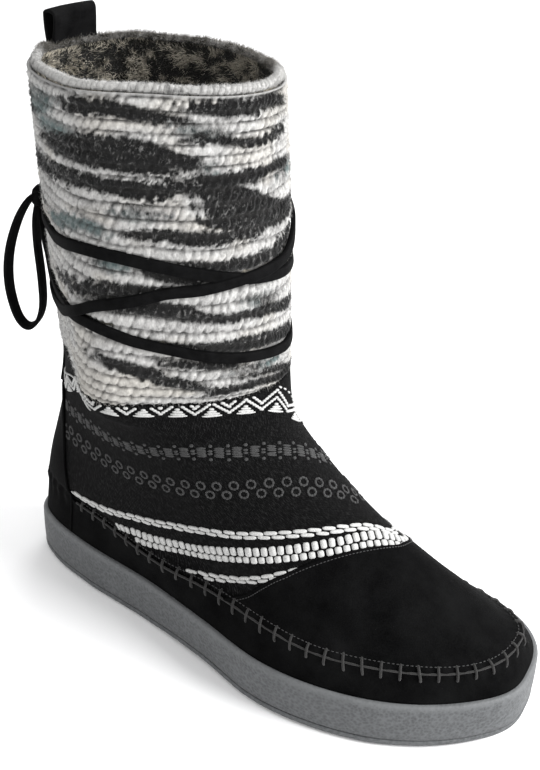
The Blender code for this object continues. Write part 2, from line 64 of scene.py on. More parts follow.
# Sole
LENGTH = 0.268
BALL_WIDTH = 0.102
HEEL_STACK = 0.0270
TOE_STACK = 0.0262
TREAD = 0.0045
TOE_SPRING = 0.0014
HEEL_BEVEL = 0.0010
ARCH_LIFT = 0.0015
EDGE_ROUND = 0.0040
SOLE_PROUD = 0.0022
LIP = 0.0008
PARTING = 0.0010
LAND = 0.0100
GROOVE_DEPTH = 0.0014
GROOVE_WIDTH = 0.0040
GROOVES = (0.13, 0.21, 0.29, 0.575, 0.645, 0.715, 0.785)

# Upper
HEIGHT = 0.282
SHAFT_DEPTH = 0.119
SHAFT_BREADTH = 0.098
WOVEN_WALL = 0.0024
KNIT_WALL = 0.0045
SUEDE = 0.0012
OVERLAY_OUT = 0.0006
SEAM_RIDGE = 0.0009
SEAM_REACH = 0.0045
PANEL_EDGE = 0.0292
PANEL_TOP = 0.1120
PANEL_TAPER = 0.0060
GAP = 0.0003
OVERLAY_BED = SUEDE + GAP - OVERLAY_OUT
THROAT_OVERLAP = 0.16     # how far, in levels, the thread stripes run on under the toe cap
SUEDE_FACE = 0.0001       # the visible face of the suede, outside the form
PIPING = 0.0006           # half the thickness of the heel panel's piping
PIPING_STEP = 0.0001      # the side piping lies this far outside the suede's face, the top one inside
SEAM_CORD = 0.00055       # half the thickness of the cord along the moccasin seam

# Pull loop
LOOP_TURN = 0.560
LOOP_WIDTH = 0.0235
LOOP_HEIGHT = 0.0168
LOOP_STRAP = 0.0016
LOOP_DEPTH = 0.0050
LOOP_PUFF = 0.0011

# Lace
LACE_LIFT = 0.0006        # the knot's back, outside the form
LACE_SUNK = 0.0005        # how far the wrapped lace's middle lies inside the form
KNOT_TURN = 0.477
KNOT_UP = 0.702
KNOT_LONG = 0.0130
KNOT_TALL = 0.0100
KNOT_DEEP = 0.0070

BACK = -0.003
RISE = HEIGHT - HEEL_STACK

# The sole's outline: how far along, then the half widths on the outer and the inner side, as shares of
# the length and of the ball's width.
OUTLINE = np.array([
    [0.00, 0.306, 0.345],
    [0.15, 0.324, 0.350],
    [0.30, 0.353, 0.332],
    [0.44, 0.440, 0.324],
    [0.58, 0.549, 0.382],
    [0.72, 0.571, 0.449],
    [0.86, 0.525, 0.494],
    [1.00, 0.395, 0.528],
])
TOE_SQUARE, HEEL_SQUARE_OUT, HEEL_SQUARE_IN = 2.8, 2.4, 3.6

# Sections of the upper above the feather line, as in the solid model
SECTION = ("back", "reach", "back_up", "front_up", "heel_out", "heel_in", "waist_out", "waist_in",
           "ball_out", "ball_in", "toe_square", "square_out", "square_in", "swing", "drop")
SECTIONS = np.array([
    [0.006, 0.949, 0.085, 0.047, 0.279, 0.318, 0.383, 0.304, 0.549, 0.298, 2.40, 2.30, 3.2, 0.061, 0],
    [0.012, 0.915, 0.117, 0.076, 0.325, 0.345, 0.360, 0.333, 0.465, 0.320, 2.20, 2.30, 3.0, 0.000, 0],
    [0.022, 0.829, 0.167, 0.123, 0.337, 0.345, 0.364, 0.343, 0.424, 0.311, 2.10, 2.20, 2.7, -0.038, 0],
    [0.036, 0.705, 0.225, 0.186, 0.346, 0.346, 0.364, 0.353, 0.393, 0.313, 2.00, 2.00, 2.3, -0.047, 0],
    [0.053, 0.574, 0.294, 0.269, 0.343, 0.343, 0.375, 0.373, 0.383, 0.333, 1.95, 1.95, 2.05, -0.049, 0],
    [0.062, 0.474, 0.380, 0.364, 0.349, 0.349, 0.419, 0.391, 0.408, 0.357, 1.90, 1.90, 1.9, -0.052, 0],
    [0.061, 0.991, 0.450, 0.463, 0.398, 0.400, 0.545, 0.446, 0.454, 0.430, 1.80, 1.80, 1.8, 0.005, 0.014],
    [0.048, 1.001, 0.720, 0.730, 0.462, 0.470, 0.522, 0.483, 0.502, 0.480, 1.80, 1.80, 1.8, -0.022, 0],
    [0.038, 0.987, 0.960, 0.990, 0.468, 0.485, 0.487, 0.418, 0.426, 0.413, 1.75, 1.80, 1.8, -0.008, -0.017],
])
SEAM, JOINT, COLLAR = 1, 7, 9
STRETCH_GROWTH = 1.12     # how much thicker a dyed stretch is made than its table says
STRETCH_FADE = 0.022      # share of the way round over which its ends fade
HEEL_AT, WAIST_AT = 0.12, 0.40
BALL_AT_OUT, BALL_AT_IN = 0.74, 0.76
JOINT_GAP = 0.0036
CORD_LOWEST = 3
GRID_LEVELS, GRID_TURNS = 901, 1440
# Rolled rim: how far its middle lies inside the form and above the collar, its half sizes and its stitches
RIM_INSET, RIM_RISE, RIM_WIDE, RIM_TALL, RIM_STITCHES = 0.0038, 0.0017, 0.0018, 0.0021, 124

# Throat of the toe cap: place on the way round, from the inner side over the toe to the outer one, and level
THROAT = np.array((
    (-0.262, 1.02), (-0.250, 1.35), (-0.220, 2.15), (-0.175, 2.80), (-0.120, 3.35), (-0.080, 3.70),
    (-0.044, 3.96), (-0.010, 4.12), (0.026, 4.26), (0.065, 4.30), (0.102, 4.21), (0.137, 3.99),
    (0.172, 3.60), (0.201, 3.10), (0.219, 2.60), (0.235, 1.95), (0.246, 1.35), (0.252, 1.02)))

# Routes of the lace, in thousandths: place on the way round and height as a share of the rise, then for
# the free stretches the distance outside the form
WRAP_DOWN = np.array((
    (434, 706), (409, 704), (381, 703), (349, 703), (316, 715), (285, 727), (235, 731), (195, 724),
    (149, 712), (86, 693), (19, 680), (-55, 673), (-150, 655), (-250, 632), (-350, 608), (-450, 590),
    (-540, 583), (-600, 580), (-626, 573), (-672, 584), (-722, 597), (-751, 591), (-783, 577),
    (-840, 557), (-883, 544), (-938, 535), (-1015, 528), (-1100, 535), (-1200, 540), (-1300, 547),
    (-1400, 550), (-1500, 551))) / 1000
WRAP_UP = np.array((
    (494, 551), (460, 551), (420, 552), (385, 552), (350, 563), (299, 603), (258, 636), (215, 656),
    (174, 676), (133, 683), (86, 693), (40, 700), (-15, 714), (-56, 738), (-130, 755), (-220, 762),
    (-320, 757), (-420, 738), (-490, 716), (-524, 706))) / 1000
OVER = 0.0009             # how much higher the upper of two crossing stretches lies
LOOP_OUTER = np.array((
    (477, 704, 4), (468, 714, 5.2), (463, 702, 8), (462, 676, 12.6), (462, 644, 16.5), (462, 610, 19.7),
    (462, 574, 21.9), (462, 533, 22.9), (462, 491, 22.1), (462, 454, 19.7), (463, 437, 16.3),
    (463, 451, 11.8), (462, 490, 7.8), (462, 528, 7), (462, 568, 6.7), (462, 607, 6.8), (463, 644, 6.6),
    (465, 670, 6.2), (472, 697, 4.8))) / 1000
LOOP_INNER = np.array((
    (477, 704, 4), (489, 706, 6), (505, 701, 8.8), (524, 682, 12), (541, 640, 14), (552, 590, 14.8),
    (560, 535, 15), (564, 490, 14.4), (561, 456, 13.6), (545, 434, 12.8), (530, 448, 12.2),
    (519, 490, 11.8), (514, 540, 11.4), (509, 590, 10.8), (502, 640, 9.8), (493, 680, 7.4),
    (484, 697, 5))) / 1000
END_OUTER = np.array((
    (476, 699, 4.2), (480, 675, 4.6), (486, 640, 5.4), (496, 600, 6.4), (504, 561, 6.6), (508, 502, 5.6),
    (510, 443, 4.6), (510, 384, 4), (508, 333, 3.8), (506, 300, 3.8))) / 1000
END_INNER = np.array((
    (480, 698, 4.2), (492, 669, 4), (508, 635, 4.8), (525, 600, 5.8), (534, 561, 5.8), (538, 502, 5.6),
    (541, 443, 4.8), (543, 384, 3.6), (544, 345, 3.1))) / 1000


def thousandths(*stretches):
    """Arrays of stretches given in thousandths."""
    return tuple(np.array(rows) / 1000 for rows in stretches)


# Dark stretches of the yarn, in thousandths: place on the way round, height over the joint as a share of
# the knit's, and half their thickness as the same share
DARK_STRETCHES = thousandths(
    ((302, 958, 12), (282, 958, 24), (233, 968, 24), (204, 948, 20), (155, 943, 10)),
    ((160, 978, 12), (115, 978, 26), (75, 973, 22), (37, 983, 22), (-20, 963, 14)),
    ((355, 805, 22), (272, 835, 45), (232, 835, 50), (193, 825, 48), (153, 820, 25), (132, 810, 10)),
    ((153, 876, 12), (124, 891, 12), (93, 871, 14), (53, 866, 16), (-12, 886, 18), (-16, 934, 16)),
    ((430, 670, 20), (406, 691, 36), (325, 719, 28), (282, 734, 25), (242, 734, 22), (201, 724, 26),
     (161, 744, 28), (122, 754, 26), (71, 764, 22), (30, 774, 18), (-31, 774, 14)),
    ((142, 699, 26), (130, 687, 60), (90, 670, 74), (55, 642, 52), (20, 620, 40), (-17, 612, 30),
     (-60, 605, 22)),
    ((221, 587, 12), (180, 596, 16), (149, 586, 24), (119, 581, 22), (77, 586, 20), (36, 596, 14),
     (-11, 587, 12)),
    ((169, 500, 14), (118, 485, 20), (77, 482, 22), (35, 490, 25), (-22, 515, 25), (-60, 536, 20)),
    ((210, 480, 10), (190, 465, 16), (159, 454, 19), (128, 449, 14)),
    ((372, 327, 12), (334, 357, 18), (270, 393, 24), (240, 409, 24), (200, 409, 20), (179, 424, 10)),
    ((269, 357, 14), (210, 362, 22), (160, 347, 25), (129, 322, 16), (89, 317, 14), (47, 312, 20),
     (-35, 281, 18), (-56, 317, 14)),
    ((211, 250, 12), (151, 220, 25), (110, 210, 32), (69, 215, 26), (-32, 190, 26), (-42, 245, 18)),
    ((193, 184, 12), (152, 169, 14), (111, 154, 18), (70, 159, 14), (28, 159, 12)),
    ((276, 205, 12), (230, 169, 22), (203, 129, 28), (163, 88, 20), (133, 68, 16)),
    ((144, 43, 14), (81, 53, 18), (40, 38, 18), (-24, 7, 24)),
    ((92, 88, 8), (40, 83, 16), (-55, 12, 18)),
    ((450, 880, 18), (407, 889, 26), (377, 866, 10)),
    ((460, 565, 18), (400, 560, 14), (369, 556, 10)),
    ((470, 440, 22), (420, 450, 20), (381, 449, 10)),
    ((460, 250, 20), (400, 255, 18), (361, 260, 10)),
)
# Grey and teal stretches, with the same rows
GREY_STRETCHES = thousandths(
    ((408, 919, 30), (364, 916, 40), (313, 954, 24)),
    ((366, 855, 16), (312, 871, 20), (272, 871, 8)),
    ((358, 520, 20), (324, 551, 26), (272, 596, 22), (241, 587, 20)),
    ((260, 485, 20), (240, 485, 22), (220, 480, 12)),
    ((174, 914, 16), (144, 909, 22), (104, 899, 12)),
    ((162, 810, 14), (132, 800, 20), (112, 805, 10)),
    ((88, 362, 14), (56, 352, 22), (15, 347, 14)),
    ((122, 124, 14), (81, 114, 20), (29, 124, 16)),
    ((241, 648, 14), (210, 658, 20), (170, 658, 12)),
    ((19, 734, 16), (-25, 739, 24), (-53, 749, 18)),
)
# How much the knit's rows climb towards the front, by height over the joint
ROW_CLIMB = np.array((
    (0.0, -0.11), (0.15, -0.10), (0.33, -0.06), (0.55, -0.01), (0.75, 0.04), (0.95, 0.0), (1.0, 0.0)))

# Stripes of the woven foot: place on the way round and level, over the instep from the outer side to the
# inner one
ZIGZAG = (
    (0.52, 5.10), (0.416, 5.45), (0.36, 5.90), (0.31, 6.55), (0.274, 6.82), (0.233, 6.85), (0.19, 6.84),
    (0.142, 6.82), (0.111, 6.80), (0.077, 6.75), (0.033, 6.62), (0.0, 6.42), (-0.03, 6.16),
    (-0.079, 5.86), (-0.12, 5.92), (-0.18, 6.12), (-0.27, 6.18), (-0.38, 5.95), (-0.48, 5.35))
GREY_SQUARES = (
    (0.52, 4.75), (0.42, 5.03), (0.378, 5.14), (0.312, 5.33), (0.25, 5.57), (0.215, 5.75), (0.177, 5.92),
    (0.141, 5.99), (0.102, 6.03), (0.067, 5.99), (0.026, 5.88), (-0.02, 5.65), (-0.053, 5.40),
    (-0.10, 5.20), (-0.20, 5.00), (-0.35, 4.80), (-0.48, 4.70))
GREY_ROSETTES = (
    (0.52, 4.10), (0.42, 4.30), (0.369, 4.40), (0.307, 4.56), (0.281, 4.66), (0.231, 4.92),
    (0.171, 5.20), (0.14, 5.31), (0.106, 5.38), (0.07, 5.38), (0.035, 5.29), (-0.006, 5.08),
    (-0.042, 4.80), (-0.10, 4.60), (-0.20, 4.40), (-0.35, 4.25), (-0.48, 4.10))
CHAIN_HIGH = (
    (0.47, 1.70), (0.42, 1.76), (0.396, 1.86), (0.374, 2.02), (0.353, 2.27), (0.313, 2.90),
    (0.271, 3.45), (0.225, 3.96), (0.18, 4.29), (0.131, 4.53), (0.105, 4.60), (0.07, 4.64),
    (0.031, 4.60), (-0.003, 4.46), (-0.04, 4.19), (-0.08, 3.95), (-0.15, 3.50), (-0.25, 2.95),
    (-0.36, 2.20), (-0.45, 1.80))
BLOCKS = (
    (0.47, 0.80), (0.38, 0.85), (0.344, 1.05), (0.331, 1.44), (0.302, 2.12), (0.267, 2.70),
    (0.244, 3.09), (0.221, 3.44), (0.194, 3.74), (0.166, 3.98), (0.137, 4.17), (0.105, 4.31),
    (0.068, 4.39), (0.027, 4.37), (-0.001, 4.26), (-0.024, 4.11), (-0.059, 3.82), (-0.15, 3.10),
    (-0.24, 2.50), (-0.30, 1.90), (-0.36, 1.20), (-0.45, 0.90))
CHAIN_LOW = (
    (0.40, 0.60), (0.31, 0.90), (0.281, 1.20), (0.26, 1.79), (0.241, 2.33), (0.218, 2.84), (0.20, 3.18),
    (0.17, 3.60), (0.10, 3.90), (0.0, 3.80), (-0.10, 2.90), (-0.2, 2.10), (-0.27, 1.40), (-0.40, 0.80))

# Camera, fitted to the photograph of the boot: angles, distance, focal length in pixels of the frame
CAMERA_AZIMUTH, CAMERA_ELEVATION, CAMERA_ROLL = 63.29, 33.31, 2.07
CAMERA_DISTANCE = 0.677
CAMERA_TARGET = (0.0956, 0.0609, 0.0941)
FOCAL_PIXELS, FRAME_HEIGHT_PIXELS, SENSOR = 1322.9, 770, 36.0

# Studio: the floor's half side and tones, the white sky's strength, and the lamps' names, places, sizes
# and powers, all aimed at one point
FLOOR_REACH = 12.0
FLOOR_TONES = ((0.93, 0.93, 0.935), (0.95, 0.95, 0.955))
SKY_STRENGTH = 0.93
LAMPS_AIM = (0.0, 0.0, 0.12)
LAMPS = (("key_light", (1.25, 0.15, 0.85), 0.8, 36.0),
         ("fill_light", (0.35, -1.0, 0.9), 0.9, 1.5),
         ("back_light", (-0.2, 1.0, 1.1), 0.8, 6.0))


def along(turn):
    """How far along the foot a place on the way round lies: half of one plus the cosine of the turn."""
    return (1 + np.cos(TAU * np.asarray(turn, float))) / 2


def outside(turn):
    """True on the outer side, the first half of the way round."""
    return np.mod(turn, 1.0) <= 0.5


def signed(turn):
    """Place on the way round from the toe, from minus a half on the inner side to a half on the outer."""
    return np.mod(turn + 0.5, 1.0) - 0.5


def unit(vectors):
    """Vectors of the same directions, one long."""
    return vectors / np.linalg.norm(vectors, axis=-1, keepdims=True)


def travelled(line):
    """Length of a line up to each of its points."""
    return np.concatenate([[0], np.cumsum(np.linalg.norm(np.diff(line, axis=0), axis=1))])


def ease(share):
    """Smooth step: three squares less two cubes of the share."""
    share = np.clip(share, 0, 1)
    return share * share * (3 - 2 * share)


def rounding(share, toe_square, heel_square):
    """Superellipse: one less a power of the distance from the middle, to one over that power."""
    power = np.where(share > 0.5, toe_square, heel_square)
    return np.clip(1 - np.abs(2 * share - 1) ** power, 0, 1) ** (1 / power)


def through(share, stations, values):
    """Cubic Hermite curve through a table's values, with the table's own gradient as its slopes."""
    slope = np.gradient(values, stations)
    i = np.clip(np.searchsorted(stations, share, side="right") - 1, 0, len(stations) - 2)
    step = stations[i + 1] - stations[i]
    f = (share - stations[i]) / step
    return ((2 * f**3 - 3 * f**2 + 1) * values[i] + (f**3 - 2 * f**2 + f) * step * slope[i]
            + (3 * f**2 - 2 * f**3) * values[i + 1] + (f**3 - f**2) * step * slope[i + 1])


def footbed(x):
    """Height of the sole's top: a straight line from heel to toe."""
    return HEEL_STACK + (TOE_STACK - HEEL_STACK) * (x - BACK) / LENGTH


def underside(share):
    """Height of the sole's bottom: a parabola each for toe spring, heel bevel and arch, else flat."""
    toe = TOE_SPRING * np.clip((share - 0.80) / 0.20, 0, 1) ** 2
    heel = HEEL_BEVEL * np.clip((0.10 - share) / 0.10, 0, 1) ** 2
    arch = ARCH_LIFT * np.clip(1 - ((share - 0.43) / 0.11) ** 2, 0, 1)
    return toe + heel + arch


def outline(turn, grow=0.0):
    """x and y of the sole's outline: the table's half width times the rounding of the ends."""
    share = along(turn)
    column = np.where(outside(turn), through(share, OUTLINE[:, 0], OUTLINE[:, 1]),
                      through(share, OUTLINE[:, 0], OUTLINE[:, 2]))
    side = np.where(outside(turn), -1.0, 1.0)
    half = column * BALL_WIDTH + grow
    y = side * half * rounding(share, TOE_SQUARE, np.where(outside(turn), HEEL_SQUARE_OUT, HEEL_SQUARE_IN))
    x = BACK - grow + (LENGTH + 2 * grow) * share
    return x, y


def section(number, turn):
    """One ring of the upper: eased half widths times a superellipse, swung inwards at the toe."""
    row = dict(zip(SECTION, SECTIONS[number - 1]))
    depth, breadth = (SHAFT_DEPTH, SHAFT_BREADTH) if number >= JOINT else (LENGTH, BALL_WIDTH)
    share, outer = along(turn), outside(turn)
    ball_at = np.where(outer, BALL_AT_OUT, BALL_AT_IN)
    waist = np.where(outer, row["waist_out"], row["waist_in"])
    ball = np.where(outer, row["ball_out"], row["ball_in"])
    heel = np.where(outer, row["heel_out"], row["heel_in"])
    behind = heel + (waist - heel) * ease((share - HEEL_AT) / (WAIST_AT - HEEL_AT))
    ahead = waist + (ball - waist) * ease((share - WAIST_AT) / (ball_at - WAIST_AT))
    half = np.where(share < WAIST_AT, behind, ahead)
    bend = rounding(share, row["toe_square"], np.where(outer, row["square_out"], row["square_in"]))
    y = breadth * (np.where(outer, -half, half) * bend
                   + row["swing"] * np.clip((share - WAIST_AT) / (1 - WAIST_AT), 0, 1) ** 1.6)
    x = LENGTH * row["back"] + depth * row["reach"] * share
    drop = np.where(outer, row["drop"] * bend**2, 0)
    up = row["back_up"] + (row["front_up"] - row["back_up"]) * share - drop
    return np.stack([x, y, HEEL_STACK + RISE * up], -1)


def feather(turn):
    """The lowest ring, where the upper meets the sole."""
    x, y = outline(turn, -SOLE_PROUD)
    return np.stack([x, y, footbed(x) + GAP], -1)


def form_tables():
    """Points and outward normals of the form on a fine grid: a Catmull-Rom curve over the rings at each
    place on the way round, and the cross product of its climb with the way round."""
    turn = np.arange(GRID_TURNS + 1) / GRID_TURNS
    rings = np.stack([feather(turn)] + [section(n, turn) for n in range(1, COLLAR + 1)])
    level = np.linspace(0, COLLAR, GRID_LEVELS)
    low = np.minimum(level.astype(int), COLLAR - 1)
    f = (level - low)[:, None, None]
    b, c = rings[low], rings[low + 1]
    a = np.where((low == 0)[:, None, None], 2 * b - c, rings[np.maximum(low - 1, 0)])
    d = np.where((low == COLLAR - 1)[:, None, None], 2 * c - b, rings[np.minimum(low + 2, COLLAR)])
    place = 0.5 * (2 * b + (c - a) * f + (2 * a - 5 * b + 4 * c - d) * f**2 + (3 * b - 3 * c + d - a) * f**3)
    climb = np.gradient(place, axis=0)
    loop = place[:, :-1]
    round_way = np.roll(loop, -3, axis=1) - np.roll(loop, 3, axis=1)
    away = unit(np.cross(climb[:, :-1], round_way))
    return place, np.concatenate([away, away[:, :1]], axis=1)


PLACE, AWAY = form_tables()


def read_table(table, level, turn):
    """Bilinear reading of a table at any level and turn."""
    level, turn = np.broadcast_arrays(np.asarray(level, float), np.asarray(turn, float))
    i = np.clip(level, 0, COLLAR) * (GRID_LEVELS - 1) / COLLAR
    j = np.mod(turn, 1.0) * GRID_TURNS
    i0 = np.minimum(i.astype(int), GRID_LEVELS - 2)
    j0 = np.minimum(j.astype(int), GRID_TURNS - 1)
    s, t = (i - i0)[..., None], (j - j0)[..., None]
    return ((1 - s) * ((1 - t) * table[i0, j0] + t * table[i0, j0 + 1])
            + s * ((1 - t) * table[i0 + 1, j0] + t * table[i0 + 1, j0 + 1]))


def form(level, turn):
    """Point of the upper's form."""
    return read_table(PLACE, level, turn)


def outward(level, turn):
    """Unit normal of the form."""
    return unit(read_table(AWAY, level, turn))


def skin(level, turn, out):
    """Point at a distance outside the form: the form's point plus its normal times that distance."""
    level, turn, out = np.broadcast_arrays(level, turn, out)
    return form(level, turn) + outward(level, turn) * out[..., None]


def level_at(turn, up):
    """Level of the form at a height, which is given as a share of the rise."""
    lines = np.linspace(CORD_LOWEST, COLLAR, 241)
    heights = (form(lines[:, None], np.atleast_1d(turn)[None])[..., 2] - HEEL_STACK) / RISE
    return level_where(heights, lines, np.atleast_1d(up))


def level_where(heights, lines, wanted):
    """Level at which each column of rising heights reaches what is wanted, by linear interpolation."""
    above = np.clip((heights < wanted[None]).sum(axis=0), 1, len(lines) - 1)
    columns = np.arange(heights.shape[1])
    low, high = heights[above - 1, columns], heights[above, columns]
    share = np.clip((wanted - low) / np.where(high > low, high - low, 1), 0, 1)
    return lines[above - 1] + share * (lines[above] - lines[above - 1])


def smooth_line(points, count):
    """Points at even steps on a smooth curve through a route's own points."""
    points = np.array(points, float)
    at = travelled(points)
    place = np.linspace(0, at[-1], count)
    return np.stack([through(place, at, points[:, i]) for i in range(points.shape[1])], -1)


def table_shift():
    """What moves the form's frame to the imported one, from the outsole's lowest corner."""
    low = np.array(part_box("outsole")[0])
    turns = np.arange(4096) / 4096
    return np.array([low[0] - BACK, low[1] - outline(turns)[1].min(), 0.0])


SHIFT = table_shift()


def cloud(u, v, cells_u, cells_v, seed):
    """Smooth noise from 0 to 1, which repeats along u: random values on a grid, eased between."""
    grid = np.random.default_rng(seed).random((cells_v + 2, cells_u))
    x, y = np.mod(u, 1.0) * cells_u, np.clip(v, 0, 1) * cells_v
    i, j = np.floor(x).astype(int), np.floor(y).astype(int)
    s, t = ease(x - i), ease(y - j)
    i0, i1 = i % cells_u, (i + 1) % cells_u
    return ((1 - t) * ((1 - s) * grid[j, i0] + s * grid[j, i1])
            + t * ((1 - s) * grid[j + 1, i0] + s * grid[j + 1, i1]))


def slow(turn, cells, seed):
    """Smooth noise that changes only along the way round."""
    return cloud(turn, 0 * turn, cells, 1, seed)


# Meshes


def grid_quads(rows, columns, wrap_rows=False, wrap_columns=False):
    """Quads between neighbouring rows and columns of a grid, closed either way where asked."""
    i = np.arange(rows if wrap_rows else rows - 1)[:, None]
    j = np.arange(columns if wrap_columns else columns - 1)[None]
    i1, j1 = (i + 1) % rows, (j + 1) % columns
    quads = np.stack(np.broadcast_arrays(i * columns + j, i * columns + j1, i1 * columns + j1,
                                         i1 * columns + j), -1)
    return quads.reshape(-1, 4)


def signed_volume(points, quads, triangles):
    """Sum over the faces of the triple product of their corners, which is negative inside out."""
    middle = points.mean(axis=0)
    total = 0.0
    for faces in ((quads[:, [0, 1, 2]], quads[:, [0, 2, 3]], triangles)):
        if len(faces):
            a, b, c = (points[faces[:, k]] - middle for k in range(3))
            total += np.einsum("ij,ij->", a, np.cross(b, c))
    return total


def add_piece(name, points, quads=(), triangles=(), finish=None, slot=None, replaces=(), smooth=True,
              **layers):
    """Closed mesh from arrays, turned to face outwards, with its finish and body; the slot is not used."""
    points = np.asarray(points, float).reshape(-1, 3)
    quads = np.asarray(quads, np.int64).reshape(-1, 4)
    triangles = np.asarray(triangles, np.int64).reshape(-1, 3)
    if signed_volume(points, quads, triangles) < 0:
        quads, triangles = quads[:, ::-1], triangles[:, ::-1]
    corners = np.concatenate([quads.ravel(), triangles.ravel()]).astype(np.int32)
    sizes = np.concatenate([np.full(len(quads), 4), np.full(len(triangles), 3)])
    starts = (np.cumsum(sizes) - sizes).astype(np.int32)
    mesh = bpy.data.meshes.new(name)
    mesh.vertices.add(len(points))
    mesh.vertices.foreach_set("co", (points + SHIFT).astype(np.float32).ravel())
    mesh.loops.add(len(corners))
    mesh.loops.foreach_set("vertex_index", corners)
    mesh.polygons.add(len(sizes))
    mesh.polygons.foreach_set("loop_start", starts)
    for key, values in layers.items():
        flat = values.ndim == 1
        layer = mesh.attributes.new(key, "FLOAT" if flat else "FLOAT_VECTOR", "POINT")
        layer.data.foreach_set("value" if flat else "vector", values.astype(np.float32).ravel())
    mesh.update(calc_edges=True)
    mesh.validate()
    if smooth:
        mesh.shade_smooth()
    else:
        mesh.shade_flat()
    piece = bpy.data.objects.new(name, mesh)
    bpy.context.scene.collection.objects.link(piece)
    mesh.materials.append(finish)
    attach(piece, BODY)
    if replaces:
        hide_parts(*replaces)
    return piece


def wall(outer, inner, closed):
    """Points and faces of a solid wall between two grids, closed round its columns or cut at the ends."""
    rows, columns = outer.shape[:2]
    count = rows * columns
    quads = [grid_quads(rows, columns, wrap_columns=closed),
             grid_quads(rows, columns, wrap_columns=closed)[:, ::-1] + count]
    j = np.arange(columns if closed else columns - 1)
    j1 = (j + 1) % columns
    quads.append(np.stack([j, j + count, j1 + count, j1], -1))
    top = (rows - 1) * columns
    quads.append(np.stack([top + j, top + j1, top + j1 + count, top + j + count], -1))
    if not closed:
        i = np.arange(rows - 1) * columns
        quads.append(np.stack([i, i + columns, i + columns + count, i + count], -1))
        k = i + columns - 1
        quads.append(np.stack([k, k + count, k + columns + count, k + columns], -1))
    return np.concatenate([outer.reshape(-1, 3), inner.reshape(-1, 3)]), np.concatenate(quads)


def band_profile(width, thick, sides=16, power=0.35):
    """Cross-section of a flat lace: a superellipse of its width and thickness."""
    angle = TAU * np.arange(sides) / sides
    shape = np.stack([np.cos(angle), np.sin(angle)], -1)
    return np.sign(shape) * np.abs(shape) ** power * np.array([width / 2, thick / 2])


def round_profile(radius, sides=8):
    """Cross-section of a round cord: a circle."""
    angle = TAU * np.arange(sides) / sides
    return np.stack([np.cos(angle), np.sin(angle)], -1) * radius


def sweep(line, side, profile):
    """Profile carried along a line, its first axis kept along side; the ends close on their middles."""
    tangent = unit(np.gradient(line, axis=0))
    across = unit(side - np.einsum("ij,ij->i", side, tangent)[:, None] * tangent)
    third = np.cross(tangent, across)
    if profile.ndim == 2:
        profile = np.broadcast_to(profile, (len(line),) + profile.shape)
    rings = line[:, None] + across[:, None] * profile[..., :1] + third[:, None] * profile[..., 1:]
    sides = profile.shape[1]
    count = rings.shape[0] * sides
    points = np.concatenate([rings.reshape(-1, 3), line[:1], line[-1:]])
    k = np.arange(sides)
    k1 = (k + 1) % sides
    last = count - sides
    triangles = np.concatenate([np.stack([k1, k, np.full(sides, count)], -1),
                                np.stack([last + k, last + k1, np.full(sides, count + 1)], -1)])
    return points, grid_quads(rings.shape[0], sides, wrap_columns=True), triangles


def join(parts):
    """One set of arrays from several, with the face numbers moved along."""
    points, quads, triangles, start = [], [], [], 0
    for p, q, t in parts:
        points.append(p)
        quads.append(np.asarray(q, np.int64).reshape(-1, 4) + start)
        triangles.append(np.asarray(t, np.int64).reshape(-1, 3) + start)
        start += len(p)
    return np.concatenate(points), np.concatenate(quads), np.concatenate(triangles)


def unit_grain(rings=4, sides=6, power=1.0):
    """Points and faces of a small closed superellipsoid, one unit long, wide and high."""
    tilt = np.pi * (np.arange(rings) + 0.5) / rings
    turn = TAU * (np.arange(sides) + 0.5) / sides

    def bent(value):
        return np.sign(value) * np.abs(value) ** power

    x = np.broadcast_to(bent(np.cos(tilt))[:, None], (rings, sides))
    y = bent(np.sin(tilt))[:, None] * bent(np.cos(turn))[None]
    z = bent(np.sin(tilt))[:, None] * bent(np.sin(turn))[None]
    body = np.stack([x, y, z], -1).reshape(-1, 3)
    points = np.concatenate([body, [[1, 0, 0], [-1, 0, 0]]]) / 2
    k = np.arange(sides)
    k1 = (k + 1) % sides
    top, last = rings * sides, (rings - 1) * sides
    triangles = np.concatenate([np.stack([k, k1, np.full(sides, top)], -1),
                                np.stack([last + k1, last + k, np.full(sides, top + 1)], -1)])
    return points, grid_quads(rings, sides, wrap_columns=True)[:, ::-1], triangles


def grains(centres, lengthways, out, size, power=1.0, rings=4, sides=6):
    """A small closed thread float at each centre, along its own direction and raised along out."""
    points, quads, triangles = unit_grain(rings, sides, power)
    size = np.broadcast_to(np.asarray(size, float), (len(centres), 3))
    u = unit(lengthways)
    w = unit(out - np.einsum("ij,ij->i", out, u)[:, None] * u)
    v = np.cross(w, u)
    local = points[None] * size[:, None]
    made = (centres[:, None] + local[..., :1] * u[:, None] + local[..., 1:2] * v[:, None]
            + local[..., 2:] * w[:, None])
    step = (np.arange(len(centres)) * len(points))[:, None, None]
    return made.reshape(-1, 3), (quads[None] + step).reshape(-1, 4), (triangles[None] + step).reshape(-1, 3)


def spikes(roots, tips, thick, seed):
    """Fibres: each a closed four-sided needle from a root to a tip, turned at random."""
    count = len(roots)
    rng = np.random.default_rng(seed)
    lengthways = unit(tips - roots)
    side = unit(np.cross(lengthways, rng.normal(size=(count, 3))))
    other = np.cross(lengthways, side)
    angle = TAU * np.arange(3) / 3
    thick = np.broadcast_to(thick, (count,))[:, None, None] / 2
    base = roots[:, None] + thick * (side[:, None] * np.cos(angle)[None, :, None]
                                     + other[:, None] * np.sin(angle)[None, :, None])
    points = np.concatenate([base, tips[:, None]], axis=1).reshape(-1, 3)
    faces = np.array([[0, 2, 1], [0, 1, 3], [1, 2, 3], [2, 0, 3]])
    return points, (faces[None] + (np.arange(count) * 4)[:, None, None]).reshape(-1, 3)


# Finishes


